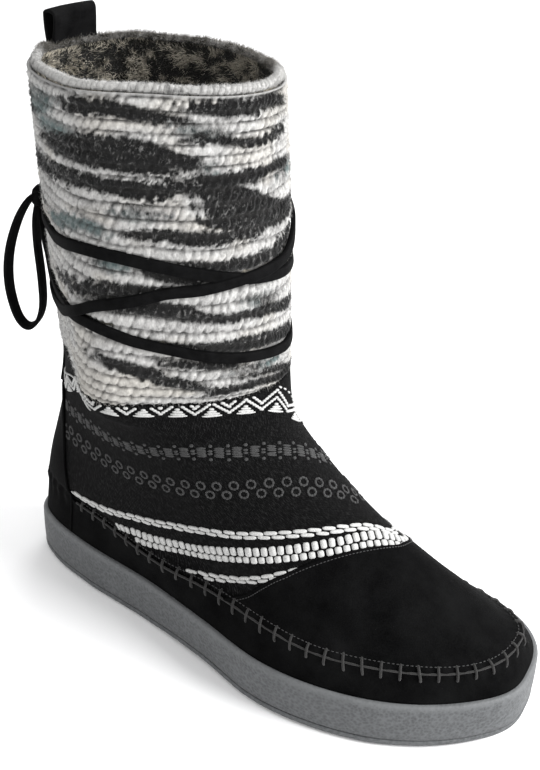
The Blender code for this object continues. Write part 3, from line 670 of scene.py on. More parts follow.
class Board:
    """Places nodes in a tree and joins them."""

    def __init__(self, tree):
        self.tree = tree

    def node(self, kind, inputs=None, **settings):
        """New node with its settings; an input is a value for the socket or another node's output."""
        made = self.tree.nodes.new(kind)
        for key, value in settings.items():
            setattr(made, key, value)
        for key, value in (inputs or {}).items():
            if isinstance(value, bpy.types.NodeSocket):
                self.tree.links.new(value, made.inputs[key])
            else:
                made.inputs[key].default_value = value
        return made

    def math(self, kind, a, b=0.0):
        """Result of one sum on numbers."""
        return self.node("ShaderNodeMath", {0: a, 1: b}, operation=kind).outputs[0]

    def plus(self, a, b):
        """Sum of two numbers."""
        return self.math("ADD", a, b)

    def times(self, a, b):
        """Product of two numbers."""
        return self.math("MULTIPLY", a, b)

    def noise(self, vector, scale, detail=3.0, rough=0.55):
        """Noise from 0 to 1 over a vector."""
        made = self.node("ShaderNodeTexNoise", {"Vector": vector, "Scale": scale, "Detail": detail,
                                                "Roughness": rough})
        return made.outputs["Fac"]

    def spread(self, value, low, high, to_low=0.0, to_high=1.0):
        """A value's range, from low to high, moved to another range and held there."""
        made = self.node("ShaderNodeMapRange", {"Value": value, "From Min": low, "From Max": high,
                                                "To Min": to_low, "To Max": to_high})
        return made.outputs[0]

    def blend(self, share, first, second):
        """Mix of two colours, each a value or another node's output."""
        made = self.node("ShaderNodeMix", data_type="RGBA")
        for key, value in ((0, share), (6, first), (7, second)):
            if isinstance(value, bpy.types.NodeSocket):
                self.tree.links.new(value, made.inputs[key])
            else:
                made.inputs[key].default_value = (*value, 1.0) if key else value
        return made.outputs[2]

    def group(self, tree, vector, numbers=None):
        """Outputs of a node group over a vector, with its numbers set."""
        made = self.node("ShaderNodeGroup", node_tree=tree)
        self.tree.links.new(vector, made.inputs["Vector"])
        for key, value in (numbers or {}).items():
            made.inputs[key].default_value = value
        return made.outputs

    def stretched(self, vector, scale):
        """Vector times a scale along each axis."""
        return self.node("ShaderNodeMapping", {"Vector": vector, "Scale": scale}).outputs[0]


def effect(name, inputs, outputs, build):
    """Shader node group over a vector, made once: number inputs with defaults, outputs and its inside."""
    made = bpy.data.node_groups.get(name)
    if made:
        return made
    made = bpy.data.node_groups.new(name, "ShaderNodeTree")
    made.interface.new_socket("Vector", in_out="INPUT", socket_type="NodeSocketVector")
    for key, value in inputs.items():
        made.interface.new_socket(key, in_out="INPUT", socket_type="NodeSocketFloat").default_value = value
    for key in outputs:
        made.interface.new_socket(key, in_out="OUTPUT", socket_type="NodeSocketFloat")
    board = Board(made)
    given = board.node("NodeGroupInput")
    taken = board.node("NodeGroupOutput")
    for key, socket in build(board, given.outputs).items():
        made.links.new(socket, taken.inputs[key])
    return made


def nap_effect():
    """Brushed nap: broad patches where the nap lies another way, with fine fibres on them."""
    def build(board, given):
        patches = board.noise(given["Vector"], given["Patch Scale"], 4.0, 0.6)
        fibres = board.noise(given["Vector"], given["Fibre Scale"], 5.0, 0.7)
        mask = board.plus(board.times(patches, 0.6), board.times(fibres, 0.4))
        return {"Mask": board.spread(mask, 0.38, 0.64), "Height": fibres}
    return effect("Brushed nap", {"Patch Scale": 60.0, "Fibre Scale": 1500.0}, ("Mask", "Height"), build)


def weave_effect():
    """Plain weave: ribs across the way round and along the height, broken up by uneven threads."""
    def build(board, given):
        parts = board.node("ShaderNodeSeparateXYZ", {0: given["Vector"]}).outputs
        warp = board.math("SINE", board.times(parts[0], given["Warp"]))
        weft = board.math("SINE", board.times(parts[1], given["Weft"]))
        uneven = board.noise(board.stretched(given["Vector"], (900.0, 320.0, 1.0)), 1.0, 4.0, 0.65)
        ribs = board.plus(board.times(warp, 0.26), board.times(weft, 0.10))
        flecks = board.noise(board.stretched(given["Vector"], (1500.0, 420.0, 1.0)), 1.0, 3.0, 0.6)
        mask = board.plus(flecks, board.times(ribs, 0.25))
        return {"Mask": board.spread(mask, 0.52, 0.74), "Height": board.plus(ribs, uneven)}
    return effect("Plain weave", {"Warp": 7400.0, "Weft": 4600.0}, ("Mask", "Height"), build)


def yarn_effect():
    """Yarn: fibres drawn out along one way over softer lumps."""
    def build(board, given):
        drawn = board.stretched(given["Vector"], (1.0, 1.0, 0.45))
        fibres = board.noise(drawn, given["Fibre Scale"], 6.0, 0.7)
        lumps = board.noise(given["Vector"], given["Lump Scale"], 3.0, 0.5)
        height = board.plus(fibres, board.times(lumps, 0.6))
        return {"Mask": board.spread(fibres, 0.36, 0.66), "Height": height}
    return effect("Yarn fibres", {"Fibre Scale": 1300.0, "Lump Scale": 260.0}, ("Mask", "Height"), build)


def pebble_effect():
    """Moulded pebbles: rounded cells of two sizes, with scuffs over them."""
    def build(board, given):
        vector, scale = given["Vector"], given["Scale"]
        cells = board.node("ShaderNodeTexVoronoi", {"Vector": vector, "Scale": scale, "Smoothness": 0.6},
                           feature="SMOOTH_F1").outputs["Distance"]
        fine = board.noise(vector, board.times(scale, 2.6), 4.0, 0.6)
        height = board.plus(board.times(cells, -0.9), board.times(fine, 0.7))
        scuff = board.noise(board.stretched(vector, (1.0, 1.0, 3.0)), board.times(scale, 0.09),
                            5.0, 0.65)
        return {"Mask": board.spread(cells, 0.15, 0.75), "Scuff": board.spread(scuff, 0.42, 0.68),
                "Height": height}
    return effect("Moulded pebbles", {"Scale": 700.0}, ("Mask", "Scuff", "Height"), build)


def start_finish(name, roughness, specular=0.3, sheen=0.0, sheen_rough=0.5):
    """New material with its constants set on the shader's own sockets, and its board."""
    made = bpy.data.materials.new(name)
    made.use_nodes = True
    shader = made.node_tree.nodes["Principled BSDF"]
    shader.inputs["Roughness"].default_value = roughness
    shader.inputs["Metallic"].default_value = 0.0
    shader.inputs["Specular IOR Level"].default_value = specular
    shader.inputs["Sheen Weight"].default_value = sheen
    shader.inputs["Sheen Roughness"].default_value = sheen_rough
    board = Board(made.node_tree)
    place = board.node("ShaderNodeTexCoord").outputs["Object"]
    return made, shader, board, place


def put(board, shader, colour, height, strength, distance):
    """Colour and bump onto the shader."""
    board.tree.links.new(colour, shader.inputs["Base Color"])
    bump = board.node("ShaderNodeBump", {"Height": height, "Strength": strength, "Distance": distance})
    board.tree.links.new(bump.outputs[0], shader.inputs["Normal"])


def layer(board, name, output="Fac"):
    """Value that the mesh carries at each point."""
    return board.node("ShaderNodeAttribute", attribute_name=name).outputs[output]


def suede_finish(name, dark, light, patch=60.0, fibre=1500.0, strength=0.5):
    """Suede: two colours mixed by the brushed nap."""
    made, shader, board, place = start_finish(name, 0.80, 0.03, 0.004, 0.35)
    nap = board.group(nap_effect(), place, {"Patch Scale": patch, "Fibre Scale": fibre})
    put(board, shader, board.blend(nap["Mask"], dark, light), nap["Height"], strength, 0.0004)
    return made


def woven_finish(dark, light):
    """Woven cloth: two colours mixed by the weave, over the cloth's own place."""
    made, shader, board, place = start_finish("woven_black", 0.92, 0.05, 0.01, 0.4)
    weave = board.group(weave_effect(), layer(board, "cloth", "Vector"))
    put(board, shader, board.blend(weave["Mask"], dark, light), weave["Height"], 0.7, 0.0004)
    return made


def yarn_finish(name, white, black, shadow, strength=0.6):
    """Space-dyed yarn: black to white by the dye, teal or sand by the tint, with painted shade down between
    stitches where the depth is low.
    """
    made, shader, board, place = start_finish(name, 0.95, 0.1, 0.15, 0.5)
    yarn = board.group(yarn_effect(), place)
    uneven = board.times(board.math("SUBTRACT", yarn["Mask"], 0.5), 0.30)
    dye = board.spread(board.plus(layer(board, "dye"), uneven), 0.12, 0.92)
    base = board.blend(dye, black, white)
    teal = board.blend(board.spread(layer(board, "tint"), 0.0, 1.0), base, (0.105, 0.150, 0.150))
    sand = board.blend(board.spread(layer(board, "tint"), 0.0, -1.0, 0.0, 0.35), teal, (0.40, 0.36, 0.29))
    # painted shade: the shadow colour mixed in, most where the depth is low
    painted_shade_mix = board.blend(board.spread(layer(board, "depth"), 0.18, 0.82, 0.85, 0.0), sand, shadow)
    put(board, shader, painted_shade_mix, yarn["Height"], strength, 0.0005)
    return made


def thread_finish(name, light, dark):
    """Thread: two colours mixed by finer yarn fibres."""
    made, shader, board, place = start_finish(name, 0.85, 0.2, 0.1, 0.5)
    yarn = board.group(yarn_effect(), place, {"Fibre Scale": 2600.0, "Lump Scale": 420.0})
    put(board, shader, board.blend(yarn["Mask"], dark, light), yarn["Height"], 0.5, 0.0002)
    return made


def rubber_finish(name, dark, light, edge):
    """Pebbled rubber, scuffed and paler towards the top edge."""
    made, shader, board, place = start_finish(name, 0.62, 0.35)
    pebbles = board.group(pebble_effect(), place)
    scuff = pebbles["Scuff"]
    board.tree.links.new(board.spread(scuff, 0.0, 1.0, 0.56, 0.74), shader.inputs["Roughness"])
    height = board.node("ShaderNodeSeparateXYZ", {0: place}).outputs[2]
    # paler towards the top edge: a band by height, broken up by the scuff noise
    paler_top_band = board.times(board.spread(height, HEEL_STACK - 0.0042, HEEL_STACK - 0.0012),
                      board.spread(scuff, 0.0, 1.0, 0.55, 1.0))
    mottled = board.blend(pebbles["Mask"], dark, light)
    scuffed = board.blend(board.times(scuff, 0.35), mottled, edge)
    put(board, shader, board.blend(paler_top_band, scuffed, edge), pebbles["Height"], 0.45, 0.0005)
    return made


# Lace


def climb_way(level, turn):
    """Unit direction up the form."""
    return unit(form(level + 0.02, turn) - form(level - 0.02, turn))


def round_way(level, turn):
    """Unit direction round the form."""
    return unit(form(level, turn + 0.002) - form(level, turn - 0.002))


def wrap_stretch(route, out, steps, sizes, seed):
    """A flat band along a route on the knit, tilted a little by smooth noise as a soft lace is."""
    turn, up = smooth_line(route, steps).T
    level = level_at(turn, up)
    place = np.linspace(0, 1, steps)
    tilt = 0.10 * (cloud(place, place, 23, 1, seed) - 0.5) * 2
    side = climb_way(level, turn) + tilt[:, None] * outward(level, turn)
    width = sizes.lace_width * (1 - 0.14 * cloud(place, place, 31, 1, seed + 1))
    profile = band_profile(1.0, 1.0)[None] * np.stack([width, np.full(steps, sizes.lace_thick)], -1)[:, None]
    return sweep(skin(level, turn, out - LACE_SUNK), side, profile)


def free_line(route, count):
    """Line of a free stretch, rounded at its bends by repeated averages of neighbouring points."""
    turn, up, out = np.array(route).T
    line = smooth_line(skin(level_at(turn, up), turn, out), count)
    for _ in range(14):
        line[1:-1] = (line[:-2] + 2 * line[1:-1] + line[2:]) / 4
    return line


def turned_ribbon(line, side, angle, sizes):
    """Flat band along a line, its width turned from the side direction by an angle round the line."""
    tangent = unit(np.gradient(line, axis=0))
    side = np.broadcast_to(side, line.shape)
    third = np.cross(tangent, side)
    turned = side * np.cos(angle)[:, None] + third * np.sin(angle)[:, None]
    return sweep(line, turned, band_profile(sizes.lace_width, sizes.lace_thick))


def build_knot(finish):
    """Knot of the bow: a rounded lump drawn in on both sides of the band that goes over it."""
    level, turn = level_at(KNOT_TURN, KNOT_UP), np.array([KNOT_TURN])
    away = outward(level, turn)[0]
    side = unit(np.cross((0, 0, 1), away))
    points, quads, triangles = unit_grain(28, 40, 0.8)
    x, _, z = points.T * 2
    band = ease((0.42 - np.abs(x)) / 0.10)
    groove = np.exp(-((np.abs(x) - 0.47) / 0.07) ** 2)
    fold = 0.05 * np.sin(5 * z + 3 * x) * (1 - band)
    local = points * (0.90 + 0.13 * band - 0.16 * groove + fold)[:, None]
    knot = (skin(level, turn, LACE_LIFT + KNOT_DEEP / 2) + local[:, :1] * KNOT_LONG * side
            + local[:, 1:2] * KNOT_DEEP * away + local[:, 2:] * KNOT_TALL * np.cross(away, side))
    return add_piece("bow_knot", knot, quads, triangles, finish, "lace", ("lace_knot",))


def build_laces(sizes, colours):
    """The wraps, the knot, and the bow's loops and ends as cords that start in the knot."""
    finish = suede_finish("lace_suede", colours.lace_dark, colours.lace_light, 220.0, 2400.0, 0.35)
    wraps = [wrap_stretch(WRAP_DOWN, 0.0, 560, sizes, 11), wrap_stretch(WRAP_UP, OVER, 300, sizes, 13)]
    add_piece("wrapped_lace", *join(wraps), finish, "lace", ("wrap_lace",))
    knot = build_knot(finish)
    for name, node, route, count, angle, far_end, carried in (
            ("bow_loop_outer", "lace_loop_outer", LOOP_OUTER, 120, 0.12, "object", [knot]),
            ("bow_loop_inner", "lace_loop_inner", LOOP_INNER, 120, 0.6, "object", []),
            ("bow_end_outer", "lace_end_outer", END_OUTER, 80, 0.15, "bare", []),
            ("bow_end_inner", "lace_end_inner", END_INNER, 80, 0.15, "bare", [])):
        line = free_line(route, count)
        twist = angle + 0.25 * np.sin(TAU * np.linspace(0, 1, count))
        part = turned_ribbon(line, round_way(8.0, route[0][0]), twist, sizes)
        piece = add_piece(name, *part, finish, "lace", (node,))


# Sole


def sole_layer(turns, rings):
    """Rings of the outline, one above the other, with strips across the bottom and the top."""
    columns = len(turns)
    points = np.concatenate([np.stack(np.broadcast_arrays(*ring), -1) for ring in rings])
    quads = grid_quads(len(rings), columns, wrap_columns=True)
    half = columns // 2
    top = (len(rings) - 1) * columns
    i = np.arange(1, half - 1)
    j, k = columns - i, columns - i - 1
    across = np.concatenate([np.stack([i, j, k, i + 1], -1),
                             np.stack([top + i, top + i + 1, top + k, top + j], -1)])
    ends = np.array([[0, columns - 1, 1], [half - 1, half + 1, half],
                     [top, top + 1, top + columns - 1], [top + half - 1, top + half, top + half + 1]])
    return points, np.concatenate([quads, across]), ends


GROOVE_REACH = GROOVE_WIDTH / 2 / LENGTH


def groove_depth(share):
    """Triangular grooves across the tread."""
    reach = np.abs(share[None] - np.array(GROOVES)[:, None]) / GROOVE_REACH
    return (GROOVE_DEPTH * np.clip(1 - reach, 0, 1)).max(axis=0)


def sole_turns():
    """Even places on the way round, with those where the tread's grooves begin, bottom out and end."""
    shares = np.array([place + step for place in GROOVES for step in (-GROOVE_REACH, 0, GROOVE_REACH)])
    extra = np.arccos(2 * shares - 1) / TAU
    base = np.arange(181) / 360
    near = np.abs(base[:, None] - extra[None]).min(axis=1) < 0.0012
    half = np.sort(np.concatenate([base[~near | (base == 0) | (base == 0.5)], extra]))
    return np.concatenate([half, 1 - half[-2:0:-1]])


def build_sole(colours):
    """Tread and sole wall: rings of the outline, each grown or drawn in, one above the other."""
    finish = rubber_finish("pebbled_rubber", colours.rubber_dark, colours.rubber_light, colours.rubber_edge)
    turns = sole_turns()
    share = along(turns)
    uneven = 0.00025 * (slow(turns, 60, 5) - 0.5)

    def ring(grow, height):
        return (*outline(turns, grow + uneven), height)

    bottom = underside(share)
    rings = [ring(-LAND - GROOVE_DEPTH, bottom + groove_depth(share)), ring(-LAND, bottom)]
    rings += [ring(-EDGE_ROUND * (1 - math.sin(a)) * 0.8, bottom + 0.8 * EDGE_ROUND * (1 - math.cos(a)))
              for a in np.linspace(0, np.pi / 2, 7)]
    rings += [ring(0, bottom + TREAD - 0.0003), ring(-0.0003, bottom + TREAD)]
    add_piece("tread_rubber", *sole_layer(turns, rings), finish, "rubber", ("outsole",))

    bottom = bottom + TREAD + GAP
    top = footbed(outline(turns)[0])
    rings = [ring(-PARTING / 2, bottom), ring(-0.0002, bottom + 0.5 * PARTING), ring(0, bottom + PARTING)]
    rings += [ring(0.0002 * math.sin(math.pi * step),
                   bottom + PARTING + (top - 2 * LIP - bottom - PARTING) * step)
              for step in (0.15, 0.3, 0.45, 0.6, 0.75, 0.88)]
    rings += [ring(-inward * LIP, top - down * LIP)
              for inward, down in ((0, 2), (0.25, 0.9), (1, 0.25), (1.4, 0.04), (2, 0))]
    add_piece("sole_wall", *sole_layer(turns, rings), finish, "rubber", ("midsole",))

    felt = suede_finish("insole_felt_nap", (0.012, 0.012, 0.013), (0.045, 0.045, 0.047), 90.0, 900.0, 0.6)
    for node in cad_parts:
        if node == "insole":
            for slot in bpy.data.objects[node].material_slots:
                slot.material = felt


# Foot


def arc_table():
    """Length climbed from the feather line at each place on the way round."""
    steps = np.linalg.norm(np.diff(PLACE, axis=0), axis=-1)
    return np.concatenate([np.zeros((1, PLACE.shape[1])), np.cumsum(steps, axis=0)])[..., None]


ARC = arc_table()


def arc(level, turn):
    """Length climbed from the feather line to a level."""
    return read_table(ARC, level, turn)[..., 0]


def level_span(level, turn, step):
    """Length of form that one level takes up, over a step from a level."""
    return np.linalg.norm(form(level + step, turn) - form(level, turn), axis=-1) / abs(step)


def closed_profile(outer, inner):
    """Faces of a tube whose profile runs up the outer rows and back down the inner ones."""
    points = np.concatenate([outer, inner[::-1]])
    rows, columns = points.shape[:2]
    return points.reshape(-1, 3), grid_quads(rows, columns, wrap_rows=True, wrap_columns=True)


def seat(*grids):
    """Lowest rows of the grids, set down on the footbed."""
    for grid in grids:
        grid[0, :, 2] = footbed(grid[0, :, 0]) + GAP


def build_woven_foot(colours):
    """The foot's cloth: one wall with its own flat coordinates, round and up, for the weave."""
    finish = woven_finish(colours.woven_dark, colours.woven_light)
    turns = (0.5 + np.arange(480) / 480)[None]
    levels = np.linspace(0, JOINT - JOINT_GAP, 66)[:, None]
    low = np.linspace(0, JOINT - JOINT_GAP, 16)[:, None]
    outer = skin(levels, turns, -OVERLAY_BED + 0.00012 * (cloud(turns, levels / 9, 60, 40, 3) - 0.5))
    inner = skin(low, turns, -OVERLAY_BED - WOVEN_WALL)
    seat(outer, inner)
    points, quads = closed_profile(outer, inner)
    round_way_along, every = np.broadcast_arrays(turns * 0.42, np.concatenate([levels, low[::-1]]))
    cloth = np.stack([round_way_along, arc(every, turns), np.zeros(every.shape)], -1).reshape(-1, 3)
    add_piece("woven_foot", points, quads, (), finish, "woven", ("upper",), cloth=cloth)


def throat_level(turn):
    """Level of the toe cap's throat: a smooth curve through the table."""
    return through(np.clip(turn, THROAT[0, 0], THROAT[-1, 0] - 1e-9), THROAT[:, 0], THROAT[:, 1])


def panel_front(z):
    """How far along the heel panel's front edge lies at a height."""
    return BACK + PANEL_EDGE - PANEL_TAPER * np.clip((z - PANEL_TOP / 2) / (PANEL_TOP / 2), 0, 1)


def edge_turns(levels, gap):
    """Where the heel panel's front edge crosses each level, on the outer and on the inner side."""
    found = []
    for first, last in ((0.25, 0.5), (0.75, 0.5)):
        turn = np.linspace(first, last, 400)
        place = form(levels[:, None], turn[None])
        ahead = place[..., 0] - panel_front(place[..., 2]) - gap
        found.append(level_where(-ahead.T, turn, np.zeros(len(levels))))
    return found


def seam_pucker(turn, away):
    """Cloth pinched up at the seam and gathered between its stitches, fading out away from it."""
    return seam_ridge(away) + 0.00035 * np.cos(TAU * turn * 64) * np.exp(-(away / 0.006) ** 2)


def suede_grid(levels, turns, edge=None):
    """Outer and inner faces of a suede overlay; edge is the distance to its folded edge."""
    out = SUEDE_FACE + seam_pucker(turns, np.abs(arc(levels, turns) - arc(SEAM, turns)))
    if edge is not None:
        out = (out + 0.00035 * np.exp(-((edge - 0.0009) / 0.0008) ** 2)
               - 0.0005 * np.clip(1 - edge / 0.0005, 0, 1))
    return skin(levels, turns, out), skin(levels, turns, OVERLAY_OUT - SUEDE)


def add_overlay(name, node, finish, faces):
    """Suede overlay between its two faces."""
    add_piece(name, *wall(*faces, False), (), finish, "suede", (node,))


def build_overlays(colours):
    """Toe cap up to its throat, foxing round the foot below the seam, and heel panel with its piping."""
    finish = suede_finish("black_suede", colours.suede_dark, colours.suede_light)
    turns = np.linspace(THROAT[0, 0], THROAT[-1, 0], 320)
    tops = np.maximum(throat_level(turns), SEAM + 0.03)
    share = np.concatenate([np.linspace(0, 0.9, 40), np.linspace(0.9, 1, 17)[1:]])[:, None]
    levels = SEAM + 0.02 + (tops - SEAM - 0.02)[None] * share
    edge = arc(levels[-1:], turns) - arc(levels, turns)
    add_overlay("suede_toe_cap", "toe_cap", finish, suede_grid(levels, turns, edge))

    rows = np.linspace(0, SEAM - 0.02, 18)
    outer_turn, inner_turn = edge_turns(rows, GAP / 2)
    q = np.linspace(0, 1, 460)[None]
    faces = suede_grid(rows[:, None], outer_turn[:, None] * (1 - q) + (inner_turn[:, None] - 1) * q)
    seat(*faces)
    add_overlay("suede_foxing", "foxing", finish, faces)

    heel_line = np.linspace(0, 6.4, 1281)
    heights = form(heel_line, 0.5)[:, 2]
    rows = np.linspace(0, float(np.interp(PANEL_TOP, heights, heel_line)), 66)
    outer_turn, inner_turn = edge_turns(rows, -GAP / 2)
    q = np.linspace(0, 1, 110)[None]
    turns = outer_turn[:, None] * (1 - q) + inner_turn[:, None] * q
    faces = suede_grid(rows[:, None], turns)
    seat(*faces)
    add_overlay("suede_heel_panel", "heel_panel", finish, faces)

    top = sweep(skin(rows[-1], turns[-1], SUEDE_FACE - PIPING_STEP), outward(rows[-1], turns[-1]),
                round_profile(PIPING))
    parts = []
    for turn in (outer_turn, inner_turn):
        line = skin(rows, turn, SUEDE_FACE + PIPING_STEP)
        line[0, 2] = footbed(line[0, 0]) + GAP + 2 * PIPING
        parts.append(sweep(line, outward(rows, turn), round_profile(PIPING)))
    add_piece("heel_panel_piping", *join([*parts, top]), finish, "suede")


# Stripes of thread


class Stripe:
    """Curve over the woven foot at a level for each place on the way round, measured by its length."""

    def __init__(self, rows):
        rows = np.array(rows)[::-1]
        self.turn = np.linspace(rows[0, 0], rows[-1, 0], 2400)
        self.level = through(self.turn, rows[:, 0], rows[:, 1])
        self.at = travelled(skin(self.level, self.turn, -OVERLAY_BED))
        self.length = self.at[-1]

    def read(self, distance):
        """Level and turn at a distance along."""
        return np.interp(distance, self.at, self.level), np.interp(distance, self.at, self.turn)

    def place(self, distance, up=0.0, lift=0.0003):
        """Centre, direction along, outward and upward at a distance along and a distance above."""
        level, turn = self.read(distance)
        way = unit(form(*self.read(distance + 0.0012)) - form(*self.read(distance - 0.0012)))
        rise = np.cross(way, outward(level, turn))
        rise *= np.sign(rise[..., 2:])
        a = (form(level + 0.05, turn) - form(level - 0.05, turn)) / 0.1
        b = (form(level, turn + 0.005) - form(level, turn - 0.005)) / 0.01
        aa, ab, bb, ar, br = (np.einsum("ij,ij->i", m, n)
                              for m, n in ((a, a), (a, b), (b, b), (a, rise), (b, rise)))
        spread = aa * bb - ab * ab
        level = level + up * (ar * bb - br * ab) / spread
        turn = turn + up * (br * aa - ar * ab) / spread
        return skin(level, turn, lift - OVERLAY_BED), way, outward(level, turn), rise, level, turn


def bare(centre, level, turn):
    """Where the woven cloth shows: not under the suede and below the knit."""
    place = signed(turn)
    covered = (place > THROAT[0, 0]) & (place < THROAT[-1, 0])
    under_cap = covered & (level < throat_level(place) - THROAT_OVERLAP)
    under_panel = (centre[:, 0] < panel_front(centre[:, 2]) + 0.0015) & (centre[:, 2] < PANEL_TOP + 0.0015)
    return ~under_cap & ~under_panel & (level > SEAM + 0.30) & (level < JOINT - 0.015)


def floats(stripe, distance, up, size, lean=0.0, lift=0.0003, power=0.8, seed=1):
    """Thread floats at distances along and above a stripe, leaning up by an angle, where cloth shows."""
    rng = np.random.default_rng(seed)
    distance = distance + rng.normal(0, 0.00008, distance.shape)
    up = up + rng.normal(0, 0.00006, distance.shape)
    first, last = 0.002, stripe.length - 0.002
    whole = (distance > first) & (distance < last)
    centre, way, out, rise, level, turn = stripe.place(np.clip(distance, first, last), up, lift)
    keep = bare(centre, level, turn) & whole
    lean = (lean + rng.normal(0, 0.05, distance.shape))[:, None]
    lengthways = way * np.cos(lean) + rise * np.sin(lean)
    size = np.array(size) * rng.uniform(0.93, 1.05, (len(distance), 1))
    return grains(centre[keep], lengthways[keep], out[keep], size[keep], power)


def chain_stripe(rows, seed, raised=0.0):
    """Two interlocking rows of slanted ovals, half a pitch apart."""
    stripe = Stripe(rows)
    pitch, size = 0.0066, (0.0062, 0.0019, 0.0011)
    at = np.arange(0, stripe.length, pitch)
    return [floats(stripe, at, raised + 0.00095, size, 0.10, power=0.6, seed=seed),
            floats(stripe, at + pitch / 2, raised - 0.00095, size, 0.10, power=0.6, seed=seed + 1)]


def block_stripe(rows, seed):
    """Two rows of upright blocks, half a pitch apart, the upper ones taller."""
    stripe = Stripe(rows)
    pitch = 0.0039
    at = np.arange(0, stripe.length, pitch)
    upright = math.pi / 2
    return [floats(stripe, at, 0.0023, (0.0043, 0.0033, 0.0011), upright, power=0.45, seed=seed),
            floats(stripe, at + pitch / 2, -0.0017, (0.0032, 0.0034, 0.0011), upright, power=0.45,
                   seed=seed + 1)]


def zigzag_stripe(rows, seed):
    """Stepped triangles with two zigzag lines of short floats above them and a dotted line on top."""
    stripe = Stripe(rows)
    period = 0.0150
    centres = np.arange(period / 2, stripe.length, period)
    parts = [floats(stripe, centres, 0.0005 + 0.00095 * number, (width, 0.00115, 0.0009), seed=seed + number)
             for number, width in enumerate((0.0092, 0.0070, 0.0046, 0.0022))]
    for number, base in enumerate((0.0016, 0.0040)):
        for share in np.arange(-6, 7) / 6:
            height = base + 0.0042 * (1 - abs(share))
            parts.append(floats(stripe, centres + share * period / 2, height, (0.0021, 0.0013, 0.0009),
                                lean=-0.25 * np.sign(share), seed=seed + 20 + number))
    dots = np.arange(0, stripe.length, 0.0030)
    parts.append(floats(stripe, dots, 0.0094, (0.0019, 0.0010, 0.0009), 0.2, seed=seed + 40))
    return parts


def squares_stripe(rows, seed):
    """Squares of short floats with small links between them and dots above and below the gaps."""
    stripe = Stripe(rows)
    pitch = 0.0079
    at = np.arange(pitch / 2, stripe.length, pitch)
    parts = [floats(stripe, at, 0.0010 * (row - 2), (0.0046, 0.0011, 0.0007), 0.08, 0.0001, seed=seed + row)
             for row in range(5)]
    between = at + pitch / 2
    parts += [floats(stripe, between, height, (0.0022, 0.0011, 0.0007), 0.0, 0.0001, seed=seed + 9)
              for height in (-0.0007, 0.0006)]
    parts += [floats(stripe, between, height, (0.0018, 0.0016, 0.0007), 0.0, 0.0001, seed=seed + 12)
              for height in (-0.0034, 0.0034)]
    return parts


def rosette_stripe(rows, seed):
    """Two rows of small rings, each of eight floats round a bare middle, half a pitch apart."""
    stripe = Stripe(rows)
    pitch = 0.0079
    parts = []
    for row, (shift, height) in enumerate(((0.0, 0.0023), (pitch / 2, -0.0023))):
        at = np.arange(pitch / 2, stripe.length, pitch) + shift
        for petal in range(8):
            angle = TAU * petal / 8
            parts.append(floats(stripe, at + 0.0019 * math.cos(angle), height + 0.0018 * math.sin(angle),
                                (0.0017, 0.0012, 0.0008), angle + math.pi / 2, 0.0001, seed=seed + row))
    return parts


def build_stripes(colours):
    """The six stripes, in white or grey thread."""
    white = thread_finish("white_thread", colours.thread_white, colours.thread_shade)
    grey = thread_finish("grey_thread", colours.thread_grey, colours.thread_grey_shade)
    for name, stripe, rows, seed, finish in (
            ("zigzag_stripe", zigzag_stripe, ZIGZAG, 101, white),
            ("grey_square_stripe", squares_stripe, GREY_SQUARES, 201, grey),
            ("grey_rosette_stripe", rosette_stripe, GREY_ROSETTES, 301, grey),
            ("chain_stripe_high", chain_stripe, CHAIN_HIGH, 401, white),
            ("block_stripe", block_stripe, BLOCKS, 501, white),
            ("chain_stripe_low", chain_stripe, CHAIN_LOW, 601, white)):
        add_piece(name, *join(stripe(rows, seed)), finish, "woven")


# Stitching


def seam_line():
    """Distances and places along the moccasin seam, between the heel panel's edges."""
    outer_turn, inner_turn = edge_turns(np.array([float(SEAM)]), 0.004)
    turn = np.linspace(float(outer_turn[0]), float(inner_turn[0]) - 1, 3000)
    return travelled(form(SEAM, turn)), turn


def seam_ridge(away):
    """Height of the pinched seam over the suede, falling evenly to nothing away from it."""
    return 0.8 * SEAM_RIDGE * np.clip(1 - away / SEAM_REACH, 0, 1)


def whip_stitches(sizes):
    """Each stitch is a cord over the pinched seam: a slanted arch from below the seam to above it."""
    at, turn = seam_line()
    count = int(at[-1] / sizes.whip_pitch)
    centre = np.interp((np.arange(count) + 0.5) * at[-1] / count, at, turn)
    share = np.linspace(-1, 1, 15)
    rng = np.random.default_rng(71)
    above, below = level_span(SEAM, centre, 0.15), level_span(SEAM, centre, -0.15)
    per_turn = np.linalg.norm(form(SEAM, centre + 0.002) - form(SEAM, centre - 0.002), axis=-1) / 0.004
    parts = []
    for k in range(count):
        reach = sizes.whip_reach * rng.uniform(0.92, 1.08)
        slant = -0.0006 * rng.uniform(0.2, 1.8)
        level = SEAM + share * reach / np.where(share > 0, above[k], below[k])
        place = centre[k] + share * slant / per_turn[k]
        out = SUEDE_FACE + seam_ridge(np.abs(share) * reach) + 0.00045 - 0.0013 * np.abs(share) ** 6
        line = skin(np.maximum(level, 0.15), place, out)
        parts.append(sweep(line, outward(level, place), round_profile(sizes.whip_cord / 2)))
    return parts


def seam_cord():
    """Thin cord that lies along the seam under the stitches."""
    at, turn = seam_line()
    place = np.interp(np.linspace(0, at[-1], 900), at, turn)
    line = skin(SEAM, place, SUEDE_FACE + seam_ridge(0) - 0.0001)
    return sweep(line, outward(SEAM, place), round_profile(SEAM_CORD))


def stitch_row(levels, turns, pitch, out, size):
    """Machine stitches at an even pitch along a line on the form."""
    at = travelled(skin(levels, turns, out))
    places = np.arange(pitch, at[-1] - pitch, pitch)

    def point(places):
        level, turn = np.interp(places, at, levels), np.interp(places, at, turns)
        return skin(level, turn, out), outward(level, turn)

    centre, away = point(places)
    return grains(centre, point(places + 0.0005)[0] - centre, away, size, 0.9, 3, 6)


